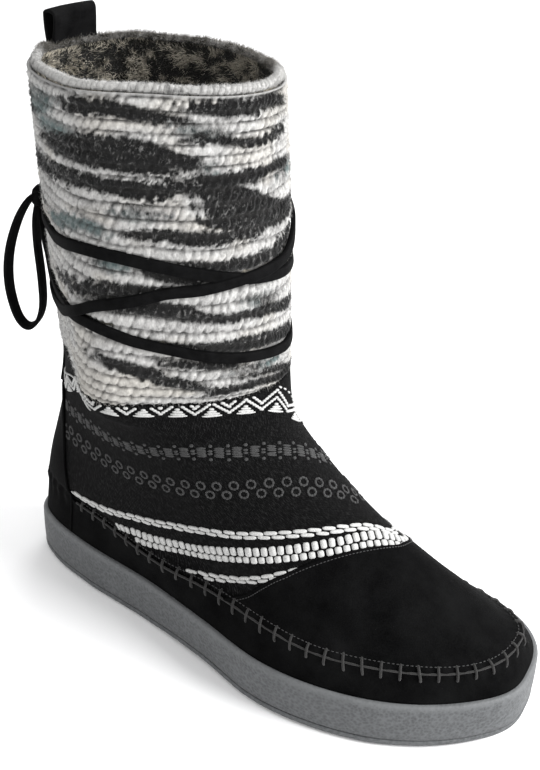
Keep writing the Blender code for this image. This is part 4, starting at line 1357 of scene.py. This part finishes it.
def build_stitching(sizes, colours):
    """Whip stitches over a cord on the moccasin seam, and machine stitches above it and by the throat."""
    cord = thread_finish("waxed_cord", colours.cord_light, colours.cord_dark)
    thread = thread_finish("machine_thread", colours.stitch_light, colours.stitch_dark)
    add_piece("whip_stitches", *join(whip_stitches(sizes)), cord, "suede")
    add_piece("seam_cord", *seam_cord(), cord, "suede")

    at, turn = seam_line()
    place = np.interp(np.linspace(0.002, at[-1] - 0.002, 1500), at, turn)
    above = SEAM + 0.0034 / level_span(SEAM, place, 0.2)
    row = stitch_row(above, place, 0.0021, SUEDE_FACE + 0.00035, (0.0014, 0.0005, 0.0004))
    add_piece("seam_machine_stitches", *row, thread, "suede")

    scan = np.linspace(THROAT[1, 0], THROAT[-2, 0], 1400)
    tops = throat_level(scan)
    row = stitch_row(tops - 0.0019 / level_span(tops, scan, -0.1), scan, 0.0017, SUEDE_FACE + 0.00040,
                     (0.0012, 0.00050, 0.00045))
    add_piece("throat_stitches", *row, thread, "suede")


# Shaft


def row_place(turn, share, rows):
    """Row of the knit at a place: its height, less the rows' climb towards the front, times the rows."""
    climbed = share - np.interp(share, ROW_CLIMB[:, 0], ROW_CLIMB[:, 1]) * along(turn)
    return climbed * rows


def stretch_cover(rows, turn, share, soft):
    """How far a stretch of dyed yarn covers a place: within its thickness, with soft ends and edges."""
    rows = np.array(rows)[::-1]
    middle = np.interp(turn, rows[:, 0], rows[:, 1])
    half = np.interp(turn, rows[:, 0], rows[:, 2]) * STRETCH_GROWTH
    edge = np.clip((half - np.abs(share - middle)) / soft + 0.5, 0, 1)
    for inside in (turn - rows[0, 0], rows[-1, 0] - turn):
        edge = edge * np.clip(inside / STRETCH_FADE + 0.5, 0, 1)
    return edge


def hidden_stretches():
    """Dark stretches of the side that the photograph doesn't show, drawn with a fixed seed."""
    rng = np.random.default_rng(907)
    made = []
    for height in np.linspace(0.03, 0.95, 15):
        turn = -0.47 + rng.uniform(0, 0.05)
        while turn < -0.09:
            length = rng.uniform(0.07, 0.20)
            level = height + rng.normal(0, 0.010)
            half = rng.uniform(0.014, 0.034)
            last = min(turn + length, -0.06)
            middle = (turn + last) / 2
            made.append(((last, level, half * 0.6), (middle, level + rng.normal(0, 0.006), half),
                         (turn, level, half * 0.6)))
            turn += length + rng.uniform(0.03, 0.10)
    return tuple(made)


HIDDEN_STRETCHES = hidden_stretches()
KNIT_TABLE = 90           # rows of random numbers for the knit, more than it has rows
KNIT_LOW, KNIT_HIGH = JOINT + JOINT_GAP, COLLAR - 0.02
# Distances inside the form: the knit's face at its highest and its back, the pile's ground and roots, and
# the lining's back
KNIT_FACE, KNIT_BACK, PILE_GROUND, PILE_ROOTS, LINING_BACK = 0.0004, 0.0022, 0.0040, 0.0034, 0.0024
# Thickness of the fibres: of the knit's fuzz, the rim's fluff and the pile
FUZZ_THICK, FLUFF_THICK, PILE_THICK = 0.00016, 0.00020, 0.00030
FLUFF_COUNT = 14000


def stretches_cover(stretches, turn, share, soft):
    """The most that any of the stretches covers each place."""
    cover = np.zeros(np.shape(turn))
    for rows in stretches:
        cover = np.maximum(cover, stretch_cover(rows, turn, share, soft))
    return cover


def dye_at(turn, share):
    """Dye and tint of the yarn: black inside a dark stretch, grey in a grey one, else white, with dark
    specks of painted shade among its fibres.
    """
    jitter = cloud(turn, share, 150, 60, 21) - 0.5
    fine = cloud(turn, share, 420, 170, 22) - 0.5
    t = signed(turn) + 0.030 * jitter + 0.014 * fine
    h = share + 0.012 * jitter + 0.014 * fine
    dark = stretches_cover(DARK_STRETCHES + HIDDEN_STRETCHES, t, h, 0.012)
    grey = stretches_cover(GREY_STRETCHES, t, h, 0.03)
    mottled = cloud(turn, share, 200, 80, 23)
    # painted shade among the fibres: dark specks scattered at random over the yarn
    shade_specks = np.clip(cloud(turn, share, 380, 160, 29) - 0.68, 0, 1) / 0.32
    dye = 1 - 0.20 * mottled - 0.16 * cloud(turn, share, 30, 14, 24) - 0.25 * shade_specks
    dye = dye * (1 - 0.72 * grey * (0.55 + 0.6 * mottled))
    fleck = np.clip((cloud(turn, share, 460, 120, 25) - 0.55) / 0.3, 0, 1) * 0.34
    dye = dye * (1 - dark) + dark * (0.02 + fleck * cloud(turn, share, 20, 9, 26))
    tint = grey * (1 - dark) * np.clip(cloud(turn, share, 26, 18, 27) * 1.6 - 0.35, 0, 1) * 0.75
    sand = (1 - dark) * (1 - grey) * np.clip(cloud(turn, share, 24, 16, 28) * 2.2 - 1.25, 0, 1)
    return np.clip(dye, 0, 1), tint - sand


def knit_relief(turn, share, sizes):
    """Height of the knit from 0 to 1: a rounded rope for each row, notched aslant between its stitches."""
    row = row_place(turn, share, sizes.knit_rows) + 0.22 * (cloud(turn, share, 26, 9, 34) - 0.5)
    number = np.floor(row)
    phase = row - number
    rng = np.random.default_rng(33)
    line = np.clip(number.astype(int) + 12, 0, KNIT_TABLE - 1)
    start = rng.random(KNIT_TABLE)[line]
    wobble = 1.1 * (cloud(turn, np.mod(number * 0.137, 1.0), 40, 25, 36) - 0.5)
    stitch = turn * sizes.knit_stitches + start + wobble + 0.65 * (phase - 0.5) + 0.5
    table = rng.random((KNIT_TABLE, sizes.knit_stitches + 2))
    edge = np.floor(stitch)
    vary = table[line, np.mod(edge.astype(int), sizes.knit_stitches)]
    across = np.abs(2 * phase - 1)
    rope = np.clip(1 - across**3.0, 0, 1) ** 0.6
    gap = np.exp(-((stitch - edge - 0.5) / 0.19) ** 2)
    return rope * (1 - 0.90 * gap * (0.40 + 0.60 * across) * (0.30 + 0.70 * vary))


def knit_out(turn, share, sizes):
    """Distance outside the form and relief of the knit's face, with soft lumps of two sizes."""
    relief = knit_relief(turn, share, sizes)
    lumps = cloud(turn, share, 240, 90, 35) + 0.7 * cloud(turn, share, 520, 150, 37) - 0.85
    return -KNIT_FACE - sizes.knit_relief * (1 - relief) + 0.0008 * lumps, relief


def build_knit(sizes, colours):
    """The knit's face, its edge over the collar and its back, as one closed tube; then its rim and fuzz."""
    finish = yarn_finish("space_dyed_yarn", colours.yarn_white, colours.yarn_black, colours.yarn_shadow)
    columns = 588
    turn, share = np.broadcast_arrays((np.arange(columns) / columns)[None], np.linspace(0, 1, 158)[:, None])
    level = KNIT_LOW + (KNIT_HIGH - KNIT_LOW) * share
    out, relief = knit_out(turn, share, sizes)
    out = (out - 0.0012 * lace_press(turn, form(level, turn)[..., 2])
           - 0.0010 * np.clip(1 - share / 0.012, 0, 1))
    dye, tint = dye_at(turn, share)
    back_levels = np.array([COLLAR, COLLAR, COLLAR - 0.02, COLLAR - 0.2, COLLAR - 1.0, KNIT_LOW])[:, None]
    back_out = -np.array([0.0002, 0.0016, KNIT_BACK, KNIT_BACK, KNIT_BACK, KNIT_BACK])[:, None]
    back_dye = np.array([0.9, 0.9, 0.5, 0.5, 0.5, 0.5])[:, None]
    points = np.concatenate([skin(level, turn, out), skin(back_levels, turn[:1], back_out)])
    fill = np.ones((6, columns))
    quads = grid_quads(points.shape[0], columns, wrap_rows=True, wrap_columns=True)
    # depth sets painted shade: the knit's relief, low between its rows and stitches, and an even 0.6 on the
    # back
    add_piece("knit_shaft", points, quads, (), finish, "knit", ("shaft",),
              dye=np.concatenate([dye, fill * back_dye]).ravel(),
              tint=np.concatenate([tint, fill * 0]).ravel(),
              depth=np.concatenate([relief, fill * 0.6]).ravel())
    build_rolled_rim(finish)
    build_fuzz(finish, sizes)


def add_fibres(name, root, tips, thick, seed, finish, dye, tint, depth):
    """Fibres from roots to tips, each of one dye and tint; one depth for all of them sets how much painted
    shade they take.
    """
    points, triangles = spikes(root, tips, thick, seed)
    add_piece(name, points, (), triangles, finish, "knit", smooth=False, dye=np.repeat(dye, 4),
              tint=np.repeat(tint, 4), depth=np.full(len(points), depth))


def rim_shape(turn, angle):
    """Points of the rolled edge round the collar, a rope notched aslant, with its outward directions."""
    lay = turn * RIM_STITCHES + 0.9 * angle / TAU + 1.5 * slow(turn, 37, 96)
    stitch = np.abs(np.sin(np.pi * lay)) ** 0.6
    swell = 0.84 + 0.16 * stitch + 0.24 * (cloud(turn, angle / TAU, 150, 3, 91) - 0.5)
    far = ease((-0.06 - signed(turn)) / 0.04)
    tall = RIM_TALL * (1 - 0.35 * far + 0.25 * (slow(turn, 26, 92) - 0.5))
    inset = RIM_INSET + 0.0010 * (slow(turn, 18, 93) - 0.5)
    away = outward(COLLAR, turn)
    flat = unit(away * np.array([1, 1, 0]))
    points = (form(COLLAR, turn) - away * inset[..., None]
              + flat * (RIM_WIDE * swell * np.cos(angle))[..., None])
    points[..., 2] += RIM_RISE - 0.0010 * far + tall * swell * np.sin(angle)
    heading = flat * np.cos(angle)[..., None] + np.array([0, 0, 1]) * np.sin(angle)[..., None]
    return points, heading, stitch


def rim_dye(turn, angle):
    """Dye of the rolled edge: white in front, flecked towards the side, dark on the far side."""
    lump = cloud(turn, angle / TAU, 150, 3, 91)
    fleck = np.clip((cloud(turn, angle / TAU, 190, 4, 94) - 0.55) / 0.4, 0, 1)
    place = signed(turn)
    side = np.clip(np.exp(-((place - 0.17) / 0.06) ** 2) + ease((place - 0.33) / 0.06), 0, 1)
    far = np.clip(ease((-0.06 - place) / 0.04) + ease((place - 0.44) / 0.04), 0, 1)
    dye = 1.0 - 0.60 * fleck * side - 0.08 * lump - 0.30 * side * slow(turn, 14, 95)
    return np.clip(dye * (1 - 0.9 * far * np.clip(0.6 + 0.6 * lump, 0, 1)), 0, 1), far


def build_rolled_rim(finish):
    """The knit's edge rolled over the collar, with the fluff of knit and pile that stands on it."""
    columns, sides, count = 1100, 18, FLUFF_COUNT
    turn, angle = np.broadcast_arrays((np.arange(columns) / columns)[:, None],
                                      (TAU * np.arange(sides) / sides)[None])
    points, _, stitch = rim_shape(turn, angle)
    dye, _ = rim_dye(turn, angle)
    quads = grid_quads(columns, sides, wrap_rows=True, wrap_columns=True)
    # depth from the stitches sets painted shade in the notches between them
    add_piece("rolled_rim", points, quads, (), finish, "knit", dye=dye.ravel(),
              tint=np.zeros(dye.size), depth=(0.40 + 0.60 * stitch).ravel())
    rng = np.random.default_rng(97)
    turn, angle = rng.random(count), rng.uniform(-0.2, 1.05, count) * math.pi
    root, heading, _ = rim_shape(turn, angle)
    dye, far = rim_dye(turn, angle)
    heading = unit(heading + rng.normal(0, 0.75, (count, 3)))
    length = (0.0013 + 0.0016 * far) * rng.uniform(0.4, 1.0, count)
    dye = np.clip(dye + rng.normal(0, 0.05, count) + far * (rng.random(count) < 0.25) * 0.4, 0, 1)
    add_fibres("rim_fluff", root - 0.0003 * heading, root + heading * length[:, None], FLUFF_THICK, 98,
               finish, dye, -0.5 * far, 0.8)


def lace_press(turn, z):
    """How much the wrapped lace presses into the knit: a bell over the distance from its course."""
    press = np.zeros(turn.shape)
    for route in (WRAP_DOWN, WRAP_UP):
        rows = np.array(route)[::-1]
        for laps in (-2, -1, 0, 1):
            at = turn + laps
            height = HEEL_STACK + RISE * np.interp(at, rows[:, 0], rows[:, 1])
            inside = (at > rows[0, 0] - 0.01) & (at < rows[-1, 0] + 0.01)
            press = np.maximum(press, inside * np.exp(-((z - height) / 0.0036) ** 4))
    return press


def build_fuzz(finish, sizes):
    """Brushed fibres on the knit, each leaning its own way, dyed as the yarn under it."""
    rng = np.random.default_rng(51)
    turn, share = rng.random(sizes.fuzz_count), rng.random(sizes.fuzz_count) * 0.995
    level = KNIT_LOW + (KNIT_HIGH - KNIT_LOW) * share
    root = skin(level, turn, knit_out(turn, share, sizes)[0] - 0.0002)
    keep = lace_press(turn, root[:, 2]) < 0.2
    turn, share, level, root = turn[keep], share[keep], level[keep], root[keep]
    count = len(turn)
    angle = rng.random(count)[:, None] * TAU
    lean = rng.uniform(0.6, 1.35, count)[:, None]
    flat = climb_way(level, turn) * np.sin(angle) + round_way(level, turn) * np.cos(angle)
    heading = outward(level, turn) * np.cos(lean) + flat * np.sin(lean)
    length = sizes.fuzz_length * rng.uniform(0.35, 1.0, count)[:, None]
    dye, tint = dye_at(turn, share)
    dye = np.clip(dye + rng.normal(0, 0.06, count), 0, 1)
    add_fibres("knit_fuzz", root, root + heading * length, FUZZ_THICK, 52, finish, dye, tint, 0.75)


def clumps(turn, share):
    """How thick the pile stands, from 0 to 1, in small clumps."""
    return cloud(turn, share, 90, 34, 61)


def build_lining(sizes, colours):
    """A lumpy ground of pile inside the knit, and the pile's fibres, dark with clumps of pale tips."""
    finish = yarn_finish("sheared_pile", colours.pile_light, colours.pile_dark, colours.yarn_shadow, 0.8)
    levels = np.concatenate([np.linspace(KNIT_LOW, 7.7, 10), np.linspace(7.7, COLLAR - 0.015, 90)[1:]])
    turn, level = np.broadcast_arrays((np.arange(360) / 360)[None], levels[:, None])
    share = (level - JOINT) / 2
    clump = clumps(turn, share)
    fine = cloud(turn, share, 260, 110, 63)
    inner = skin(level, turn, -PILE_GROUND + 0.0014 * (1 - clump) + 0.0007 * (fine - 0.5))
    points, quads = closed_profile(skin(level, turn, -LINING_BACK), inner)
    dye = np.clip((clump - 0.30) * 1.1, 0, 0.6) * (0.3 + 0.7 * fine)
    dye = np.concatenate([dye, dye[::-1]]).ravel()
    # depth from the clumps sets painted shade on the ground where the pile stands thin
    depth = np.concatenate([clump, clump[::-1]]).ravel() * 0.8
    add_piece("pile_lining", points, quads, (), finish, "knit", dye=dye, tint=dye * 0, depth=depth)

    count = sizes.pile_count
    rng = np.random.default_rng(65)
    turn = rng.random(count)
    share = 1 - rng.random(count) ** 1.4 * 0.62
    level = np.minimum(JOINT + 2 * share, COLLAR - 0.01)
    clump = clumps(turn, share)
    root = skin(level, turn, -PILE_ROOTS - 0.0010 * clump)
    swirl = (cloud(turn, share, 60, 24, 66) - 0.5) * 2.6
    top = ease((share - 0.955) / 0.04) * (1 + 0.5 * ~outside(turn))
    heading = unit(-outward(level, turn) * (1.0 - 0.75 * top)[:, None]
                   + climb_way(level, turn) * (0.35 + 0.9 * top)[:, None]
                   + round_way(level, turn) * swirl[:, None] + rng.normal(0, 0.38, (count, 3)))
    length = sizes.pile_length * rng.uniform(0.5, 1.0, count) * (0.65 + 0.6 * clump)
    chance = np.clip((clump * 1.3 + cloud(turn, share, 14, 5, 62) * 0.6 - 0.55) * 1.6, 0.06, 0.92)
    pale = rng.random(count) < chance
    dye = np.where(pale, rng.uniform(0.45, 1.0, count), rng.uniform(0.02, 0.20, count))
    sand = np.where(dye > 0.2, -rng.uniform(0.2, 1.0, count), 0.0)
    tips = root + heading * length[:, None]
    add_fibres("lining_pile", root, tips, PILE_THICK, 67, finish, dye, sand, 0.75)


def build_pull_loop(colours):
    """Strap folded over the collar: up one leg, round a half circle and down the other."""
    finish = suede_finish("loop_suede", colours.loop_dark, colours.loop_light, 160.0, 1900.0, 0.6)
    steps, bends = 56, 28
    share = np.linspace(-0.5, 0.5, steps)
    rim = form(np.array([COLLAR, COLLAR]), np.array([LOOP_TURN - 0.01, LOOP_TURN + 0.01]))
    per_turn = np.linalg.norm(rim[1] - rim[0]) / 0.02
    turns = LOOP_TURN + share * LOOP_WIDTH / per_turn
    base = form(np.full(steps, COLLAR), turns)
    away = outward(np.full(steps, COLLAR), turns) * np.array([1, 1, 0])
    away = unit(away)
    bend = np.linspace(0, math.pi, bends)
    edge = np.clip((0.5 - np.abs(share)) * LOOP_WIDTH / 0.0008, 0, 1)
    thin = LOOP_STRAP / 2 * (1 - np.sqrt(1 - (1 - edge) ** 2)) * 0.8
    foot = np.linspace(-0.004, LOOP_HEIGHT - LOOP_DEPTH / 2, 9)[:-1]

    def sheet(radius, grow):
        r = (radius - grow * thin)[None] + 0 * share
        crown = LOOP_HEIGHT - LOOP_DEPTH / 2
        inner_foot = np.linspace(0.0012, crown, 9)[:-1]
        puff = LOOP_PUFF * np.sin(np.pi * np.clip((foot + 0.002) / (2 * crown), 0, 1)) ** 1.5
        puff = puff[:, None] * (1.15 - 0.3 * share)
        wide = r + LOOP_PUFF * (1.15 - 0.3 * share)
        out = np.concatenate([r + puff, wide * np.cos(bend)[:, None], -(r + puff)[::-1]])
        up = np.concatenate([np.broadcast_to(foot[:, None], (8, steps)), crown + r * np.sin(bend)[:, None],
                             np.broadcast_to(inner_foot[::-1, None], (8, steps))])
        out = out - KNIT_WALL / 2 + 0.0002 * (cloud(share[None] + 0 * out, up / 0.02, 9, 6, 81) - 0.5)
        flat = base[None] + out[..., None] * away[None]
        flat[..., 2] = base[None, :, 2] + up
        return flat

    points, quads = wall(sheet(LOOP_DEPTH / 2, 1.0), sheet(LOOP_DEPTH / 2 - LOOP_STRAP, -1.0), False)
    add_piece("pull_loop_strap", points, quads, (), finish, "webbing", ("pull_loop",))


# Stage


def build_stage():
    """Camera at the photograph's angle, a wide pale floor, a white sky and three soft lamps."""
    scene = bpy.context.scene
    scene.view_settings.view_transform = "Standard"
    azimuth, elevation, roll = (math.radians(a) for a in (CAMERA_AZIMUTH, CAMERA_ELEVATION, CAMERA_ROLL))
    towards = np.array([math.cos(elevation) * math.cos(azimuth), -math.cos(elevation) * math.sin(azimuth),
                        math.sin(elevation)])
    eye = np.array(CAMERA_TARGET) + SHIFT + towards * CAMERA_DISTANCE
    right = unit(np.cross(-towards, (0, 0, 1)))
    up = np.cross(right, -towards)
    level_x = math.cos(roll) * right + math.sin(roll) * up
    level_y = -math.sin(roll) * right + math.cos(roll) * up
    camera = bpy.data.cameras.new("photo_camera")
    camera.sensor_width = SENSOR
    camera.lens = FOCAL_PIXELS * SENSOR / FRAME_HEIGHT_PIXELS
    camera.clip_end = 50.0
    viewer = bpy.data.objects.new("photo_camera", camera)
    viewer.matrix_world = Matrix(((level_x[0], level_y[0], towards[0], eye[0]),
                                  (level_x[1], level_y[1], towards[1], eye[1]),
                                  (level_x[2], level_y[2], towards[2], eye[2]), (0, 0, 0, 1)))
    scene.collection.objects.link(viewer)
    scene.camera = viewer

    mesh = bpy.data.meshes.new("studio_floor")
    corners = [(FLOOR_REACH * x, FLOOR_REACH * y, 0) for x, y in ((-1, -1), (1, -1), (1, 1), (-1, 1))]
    mesh.from_pydata(corners, [], [(0, 1, 2, 3)])
    floor = bpy.data.objects.new("studio_floor", mesh)
    scene.collection.objects.link(floor)
    paper, shader, board, place = start_finish("pale_floor", 0.9, 0.1)
    tone = board.blend(board.noise(place, 3.0, 2.0), *FLOOR_TONES)
    board.tree.links.new(tone, shader.inputs["Base Color"])
    mesh.materials.append(paper)

    world = bpy.data.worlds.new("studio_light")
    world.use_nodes = True
    sky = world.node_tree.nodes["Background"].inputs
    sky["Color"].default_value = (1.0, 1.0, 1.0, 1.0)
    sky["Strength"].default_value = SKY_STRENGTH
    scene.world = world
    for name, where, size, power in LAMPS:
        light = bpy.data.lights.new(name, "AREA")
        light.shape = "DISK"
        light.size = size
        light.energy = power
        lamp = bpy.data.objects.new(name, light)
        lamp.location = where
        lamp.rotation_euler = (Vector(LAMPS_AIM) - Vector(where)).to_track_quat("-Z", "Y").to_euler()
        scene.collection.objects.link(lamp)


# Settings, operators and panel


def length_setting(name, description, default, low, high):
    """Setting that holds a length."""
    return bpy.props.FloatProperty(name=name, description=description, default=default, min=low, max=high,
                                   subtype="DISTANCE", unit="LENGTH", precision=5)


def count_setting(name, description, default, low, high):
    """Setting that holds a number of things."""
    return bpy.props.IntProperty(name=name, description=description, default=default, min=low, max=high)


def colour_setting(name, description, default):
    """Setting that holds a colour."""
    return bpy.props.FloatVectorProperty(name=name, description=description, default=default, size=3,
                                         min=0.0, max=1.0, subtype="COLOR")


class BootSizes(bpy.types.PropertyGroup):
    """Sizes of the boot's surface detail"""
    lace_width: length_setting("Lace width", "Width of the flat lace", 0.0054, 0.003, 0.008)
    lace_thick: length_setting("Lace thickness", "Thickness of the flat lace", 0.0021, 0.001, 0.003)
    knit_rows: count_setting("Knit rows", "Rows of the knit from joint to collar", 27, 10, 40)
    knit_stitches: count_setting("Knit stitches", "Stitches round the shaft", 84, 40, 140)
    knit_relief: length_setting("Knit relief", "Depth between the knit's rows", 0.0017, 0.0, 0.003)
    fuzz_length: length_setting("Fuzz length", "Longest brushed fibre on the knit", 0.0026, 0.0, 0.005)
    fuzz_count: count_setting("Fuzz fibres", "Number of brushed fibres on the knit", 46000, 0, 49000)
    pile_length: length_setting("Pile length", "Length of the lining's pile", 0.0036, 0.0, 0.006)
    pile_count: count_setting("Pile fibres", "Number of fibres of the lining's pile", 46000, 0, 49000)
    whip_pitch: length_setting("Whip pitch", "Distance between the whip stitches", 0.0085, 0.004, 0.02)
    whip_reach: length_setting("Whip reach", "Reach of a stitch either side", 0.0040, 0.002, 0.008)
    whip_cord: length_setting("Whip cord", "Thickness of the waxed cord", 0.0013, 0.0005, 0.003)


class BootColours(bpy.types.PropertyGroup):
    """Colours of the boot's materials"""
    yarn_white: colour_setting("Yarn white", "Undyed stretches of the yarn", (0.46, 0.455, 0.445))
    yarn_black: colour_setting("Yarn black", "Dyed stretches of the yarn", (0.0055, 0.0055, 0.0055))
    yarn_shadow: colour_setting("Yarn shadow", "Between the stitches", (0.020, 0.0195, 0.019))
    pile_light: colour_setting("Pile tips", "Pale tips of the lining", (0.80, 0.74, 0.62))
    pile_dark: colour_setting("Pile", "Dark fibres of the lining", (0.022, 0.023, 0.020))
    suede_dark: colour_setting("Suede", "Suede with the nap laid down", (0.0007, 0.0007, 0.0008))
    suede_light: colour_setting("Suede nap", "Suede with the nap raised", (0.0044, 0.0045, 0.0046))
    lace_dark: colour_setting("Lace", "Suede lace with the nap laid down", (0.0020, 0.0020, 0.0021))
    lace_light: colour_setting("Lace nap", "Suede lace with the nap raised", (0.0056, 0.0056, 0.0058))
    loop_dark: colour_setting("Pull loop", "Strap of the pull loop", (0.0030, 0.0030, 0.0032))
    loop_light: colour_setting("Pull loop nap", "Raised nap of the strap", (0.0085, 0.0085, 0.0088))
    woven_dark: colour_setting("Woven cloth", "Ground of the woven cloth", (0.0024, 0.0024, 0.0025))
    woven_light: colour_setting("Woven flecks", "Paler threads of the woven cloth", (0.0200, 0.0200, 0.0200))
    thread_white: colour_setting("White thread", "White floats of the stripes", (0.56, 0.56, 0.55))
    thread_shade: colour_setting("White thread shade", "Between their fibres", (0.30, 0.30, 0.295))
    thread_grey: colour_setting("Grey thread", "Grey floats of the stripes", (0.052, 0.052, 0.052))
    thread_grey_shade: colour_setting("Grey thread shade", "Between their fibres", (0.016, 0.016, 0.016))
    cord_light: colour_setting("Waxed cord", "Cord of the moccasin seam", (0.030, 0.029, 0.028))
    cord_dark: colour_setting("Waxed cord shade", "Between the strands of the cord", (0.010, 0.010, 0.010))
    stitch_light: colour_setting("Machine stitches", "Thread of the machine stitches", (0.055, 0.055, 0.055))
    stitch_dark: colour_setting("Machine stitch shade", "Between its strands", (0.02, 0.02, 0.02))
    rubber_dark: colour_setting("Rubber", "Between the pebbles of the sole", (0.045, 0.047, 0.049))
    rubber_light: colour_setting("Rubber pebbles", "Tops of the pebbles", (0.088, 0.092, 0.096))
    # the paler colour of the band along the sole's top edge, and of the scuffs
    rubber_edge: colour_setting("Rubber edge", "Scuffed top edge of the sole", (0.120, 0.124, 0.127))


class BOOT_OT_stage(bpy.types.Operator):
    """Adds the camera, the pale floor and the soft lights"""
    bl_idname = "boot.stage"
    bl_label = "Stage"

    def execute(self, context):
        build_stage()
        return {"FINISHED"}


class BOOT_OT_laces(bpy.types.Operator):
    """Wraps the lace round the shaft and ties its bow"""
    bl_idname = "boot.laces"
    bl_label = "Laces"

    def execute(self, context):
        build_laces(context.scene.boot_sizes, context.scene.boot_colours)
        return {"FINISHED"}


class BOOT_OT_sole(bpy.types.Operator):
    """Builds the tread and the sole's wall and finishes the insole"""
    bl_idname = "boot.sole"
    bl_label = "Sole"

    def execute(self, context):
        build_sole(context.scene.boot_colours)
        return {"FINISHED"}


class BOOT_OT_woven_foot(bpy.types.Operator):
    """Builds the woven cloth of the foot"""
    bl_idname = "boot.woven_foot"
    bl_label = "Woven foot"

    def execute(self, context):
        build_woven_foot(context.scene.boot_colours)
        return {"FINISHED"}


class BOOT_OT_overlays(bpy.types.Operator):
    """Builds the suede toe cap, foxing and heel panel"""
    bl_idname = "boot.overlays"
    bl_label = "Suede overlays"

    def execute(self, context):
        build_overlays(context.scene.boot_colours)
        return {"FINISHED"}


class BOOT_OT_stripes(bpy.types.Operator):
    """Lays the thread stripes on the woven cloth"""
    bl_idname = "boot.stripes"
    bl_label = "Stripes"

    def execute(self, context):
        build_stripes(context.scene.boot_colours)
        return {"FINISHED"}


class BOOT_OT_stitching(bpy.types.Operator):
    """Sews the moccasin seam and the machine stitches"""
    bl_idname = "boot.stitching"
    bl_label = "Stitching"

    def execute(self, context):
        build_stitching(context.scene.boot_sizes, context.scene.boot_colours)
        return {"FINISHED"}


class BOOT_OT_knit(bpy.types.Operator):
    """Knits the shaft and brushes it"""
    bl_idname = "boot.knit"
    bl_label = "Knit shaft"

    def execute(self, context):
        build_knit(context.scene.boot_sizes, context.scene.boot_colours)
        return {"FINISHED"}


class BOOT_OT_lining(bpy.types.Operator):
    """Lines the shaft with sheared pile"""
    bl_idname = "boot.lining"
    bl_label = "Pile lining"

    def execute(self, context):
        build_lining(context.scene.boot_sizes, context.scene.boot_colours)
        return {"FINISHED"}


class BOOT_OT_pull_loop(bpy.types.Operator):
    """Folds the pull loop over the collar"""
    bl_idname = "boot.pull_loop"
    bl_label = "Pull loop"

    def execute(self, context):
        build_pull_loop(context.scene.boot_colours)
        return {"FINISHED"}


STEPS = (BOOT_OT_stage, BOOT_OT_laces, BOOT_OT_sole, BOOT_OT_woven_foot, BOOT_OT_overlays, BOOT_OT_stripes,
         BOOT_OT_stitching, BOOT_OT_knit, BOOT_OT_lining, BOOT_OT_pull_loop)


class BOOT_PT_panel(bpy.types.Panel):
    """Lists the boot's pieces and settings"""
    bl_idname = "BOOT_PT_panel"
    bl_label = "Boot"
    bl_space_type = "VIEW_3D"
    bl_region_type = "UI"
    bl_category = "Boot"

    def draw(self, context):
        for step in STEPS:
            self.layout.operator(step.bl_idname)
        for group in (context.scene.boot_sizes, context.scene.boot_colours):
            box = self.layout.box()
            for key in type(group).__annotations__:
                box.prop(group, key)


CLASSES = (BootSizes, BootColours, *STEPS, BOOT_PT_panel)


def register():
    """Registers the settings, the operators and the panel."""
    for made in CLASSES:
        bpy.utils.register_class(made)
    bpy.types.Scene.boot_sizes = bpy.props.PointerProperty(type=BootSizes)
    bpy.types.Scene.boot_colours = bpy.props.PointerProperty(type=BootColours)


def unregister():
    """Takes them away again."""
    del bpy.types.Scene.boot_colours
    del bpy.types.Scene.boot_sizes
    for made in reversed(CLASSES):
        bpy.utils.unregister_class(made)


def main():
    """Builds the whole boot."""
    register()
    bpy.ops.boot.stage()
    bpy.ops.boot.laces()
    bpy.ops.boot.sole()
    bpy.ops.boot.woven_foot()
    bpy.ops.boot.overlays()
    bpy.ops.boot.stripes()
    bpy.ops.boot.stitching()
    bpy.ops.boot.knit()
    bpy.ops.boot.lining()
    bpy.ops.boot.pull_loop()


if __name__ == "__main__":
    main()
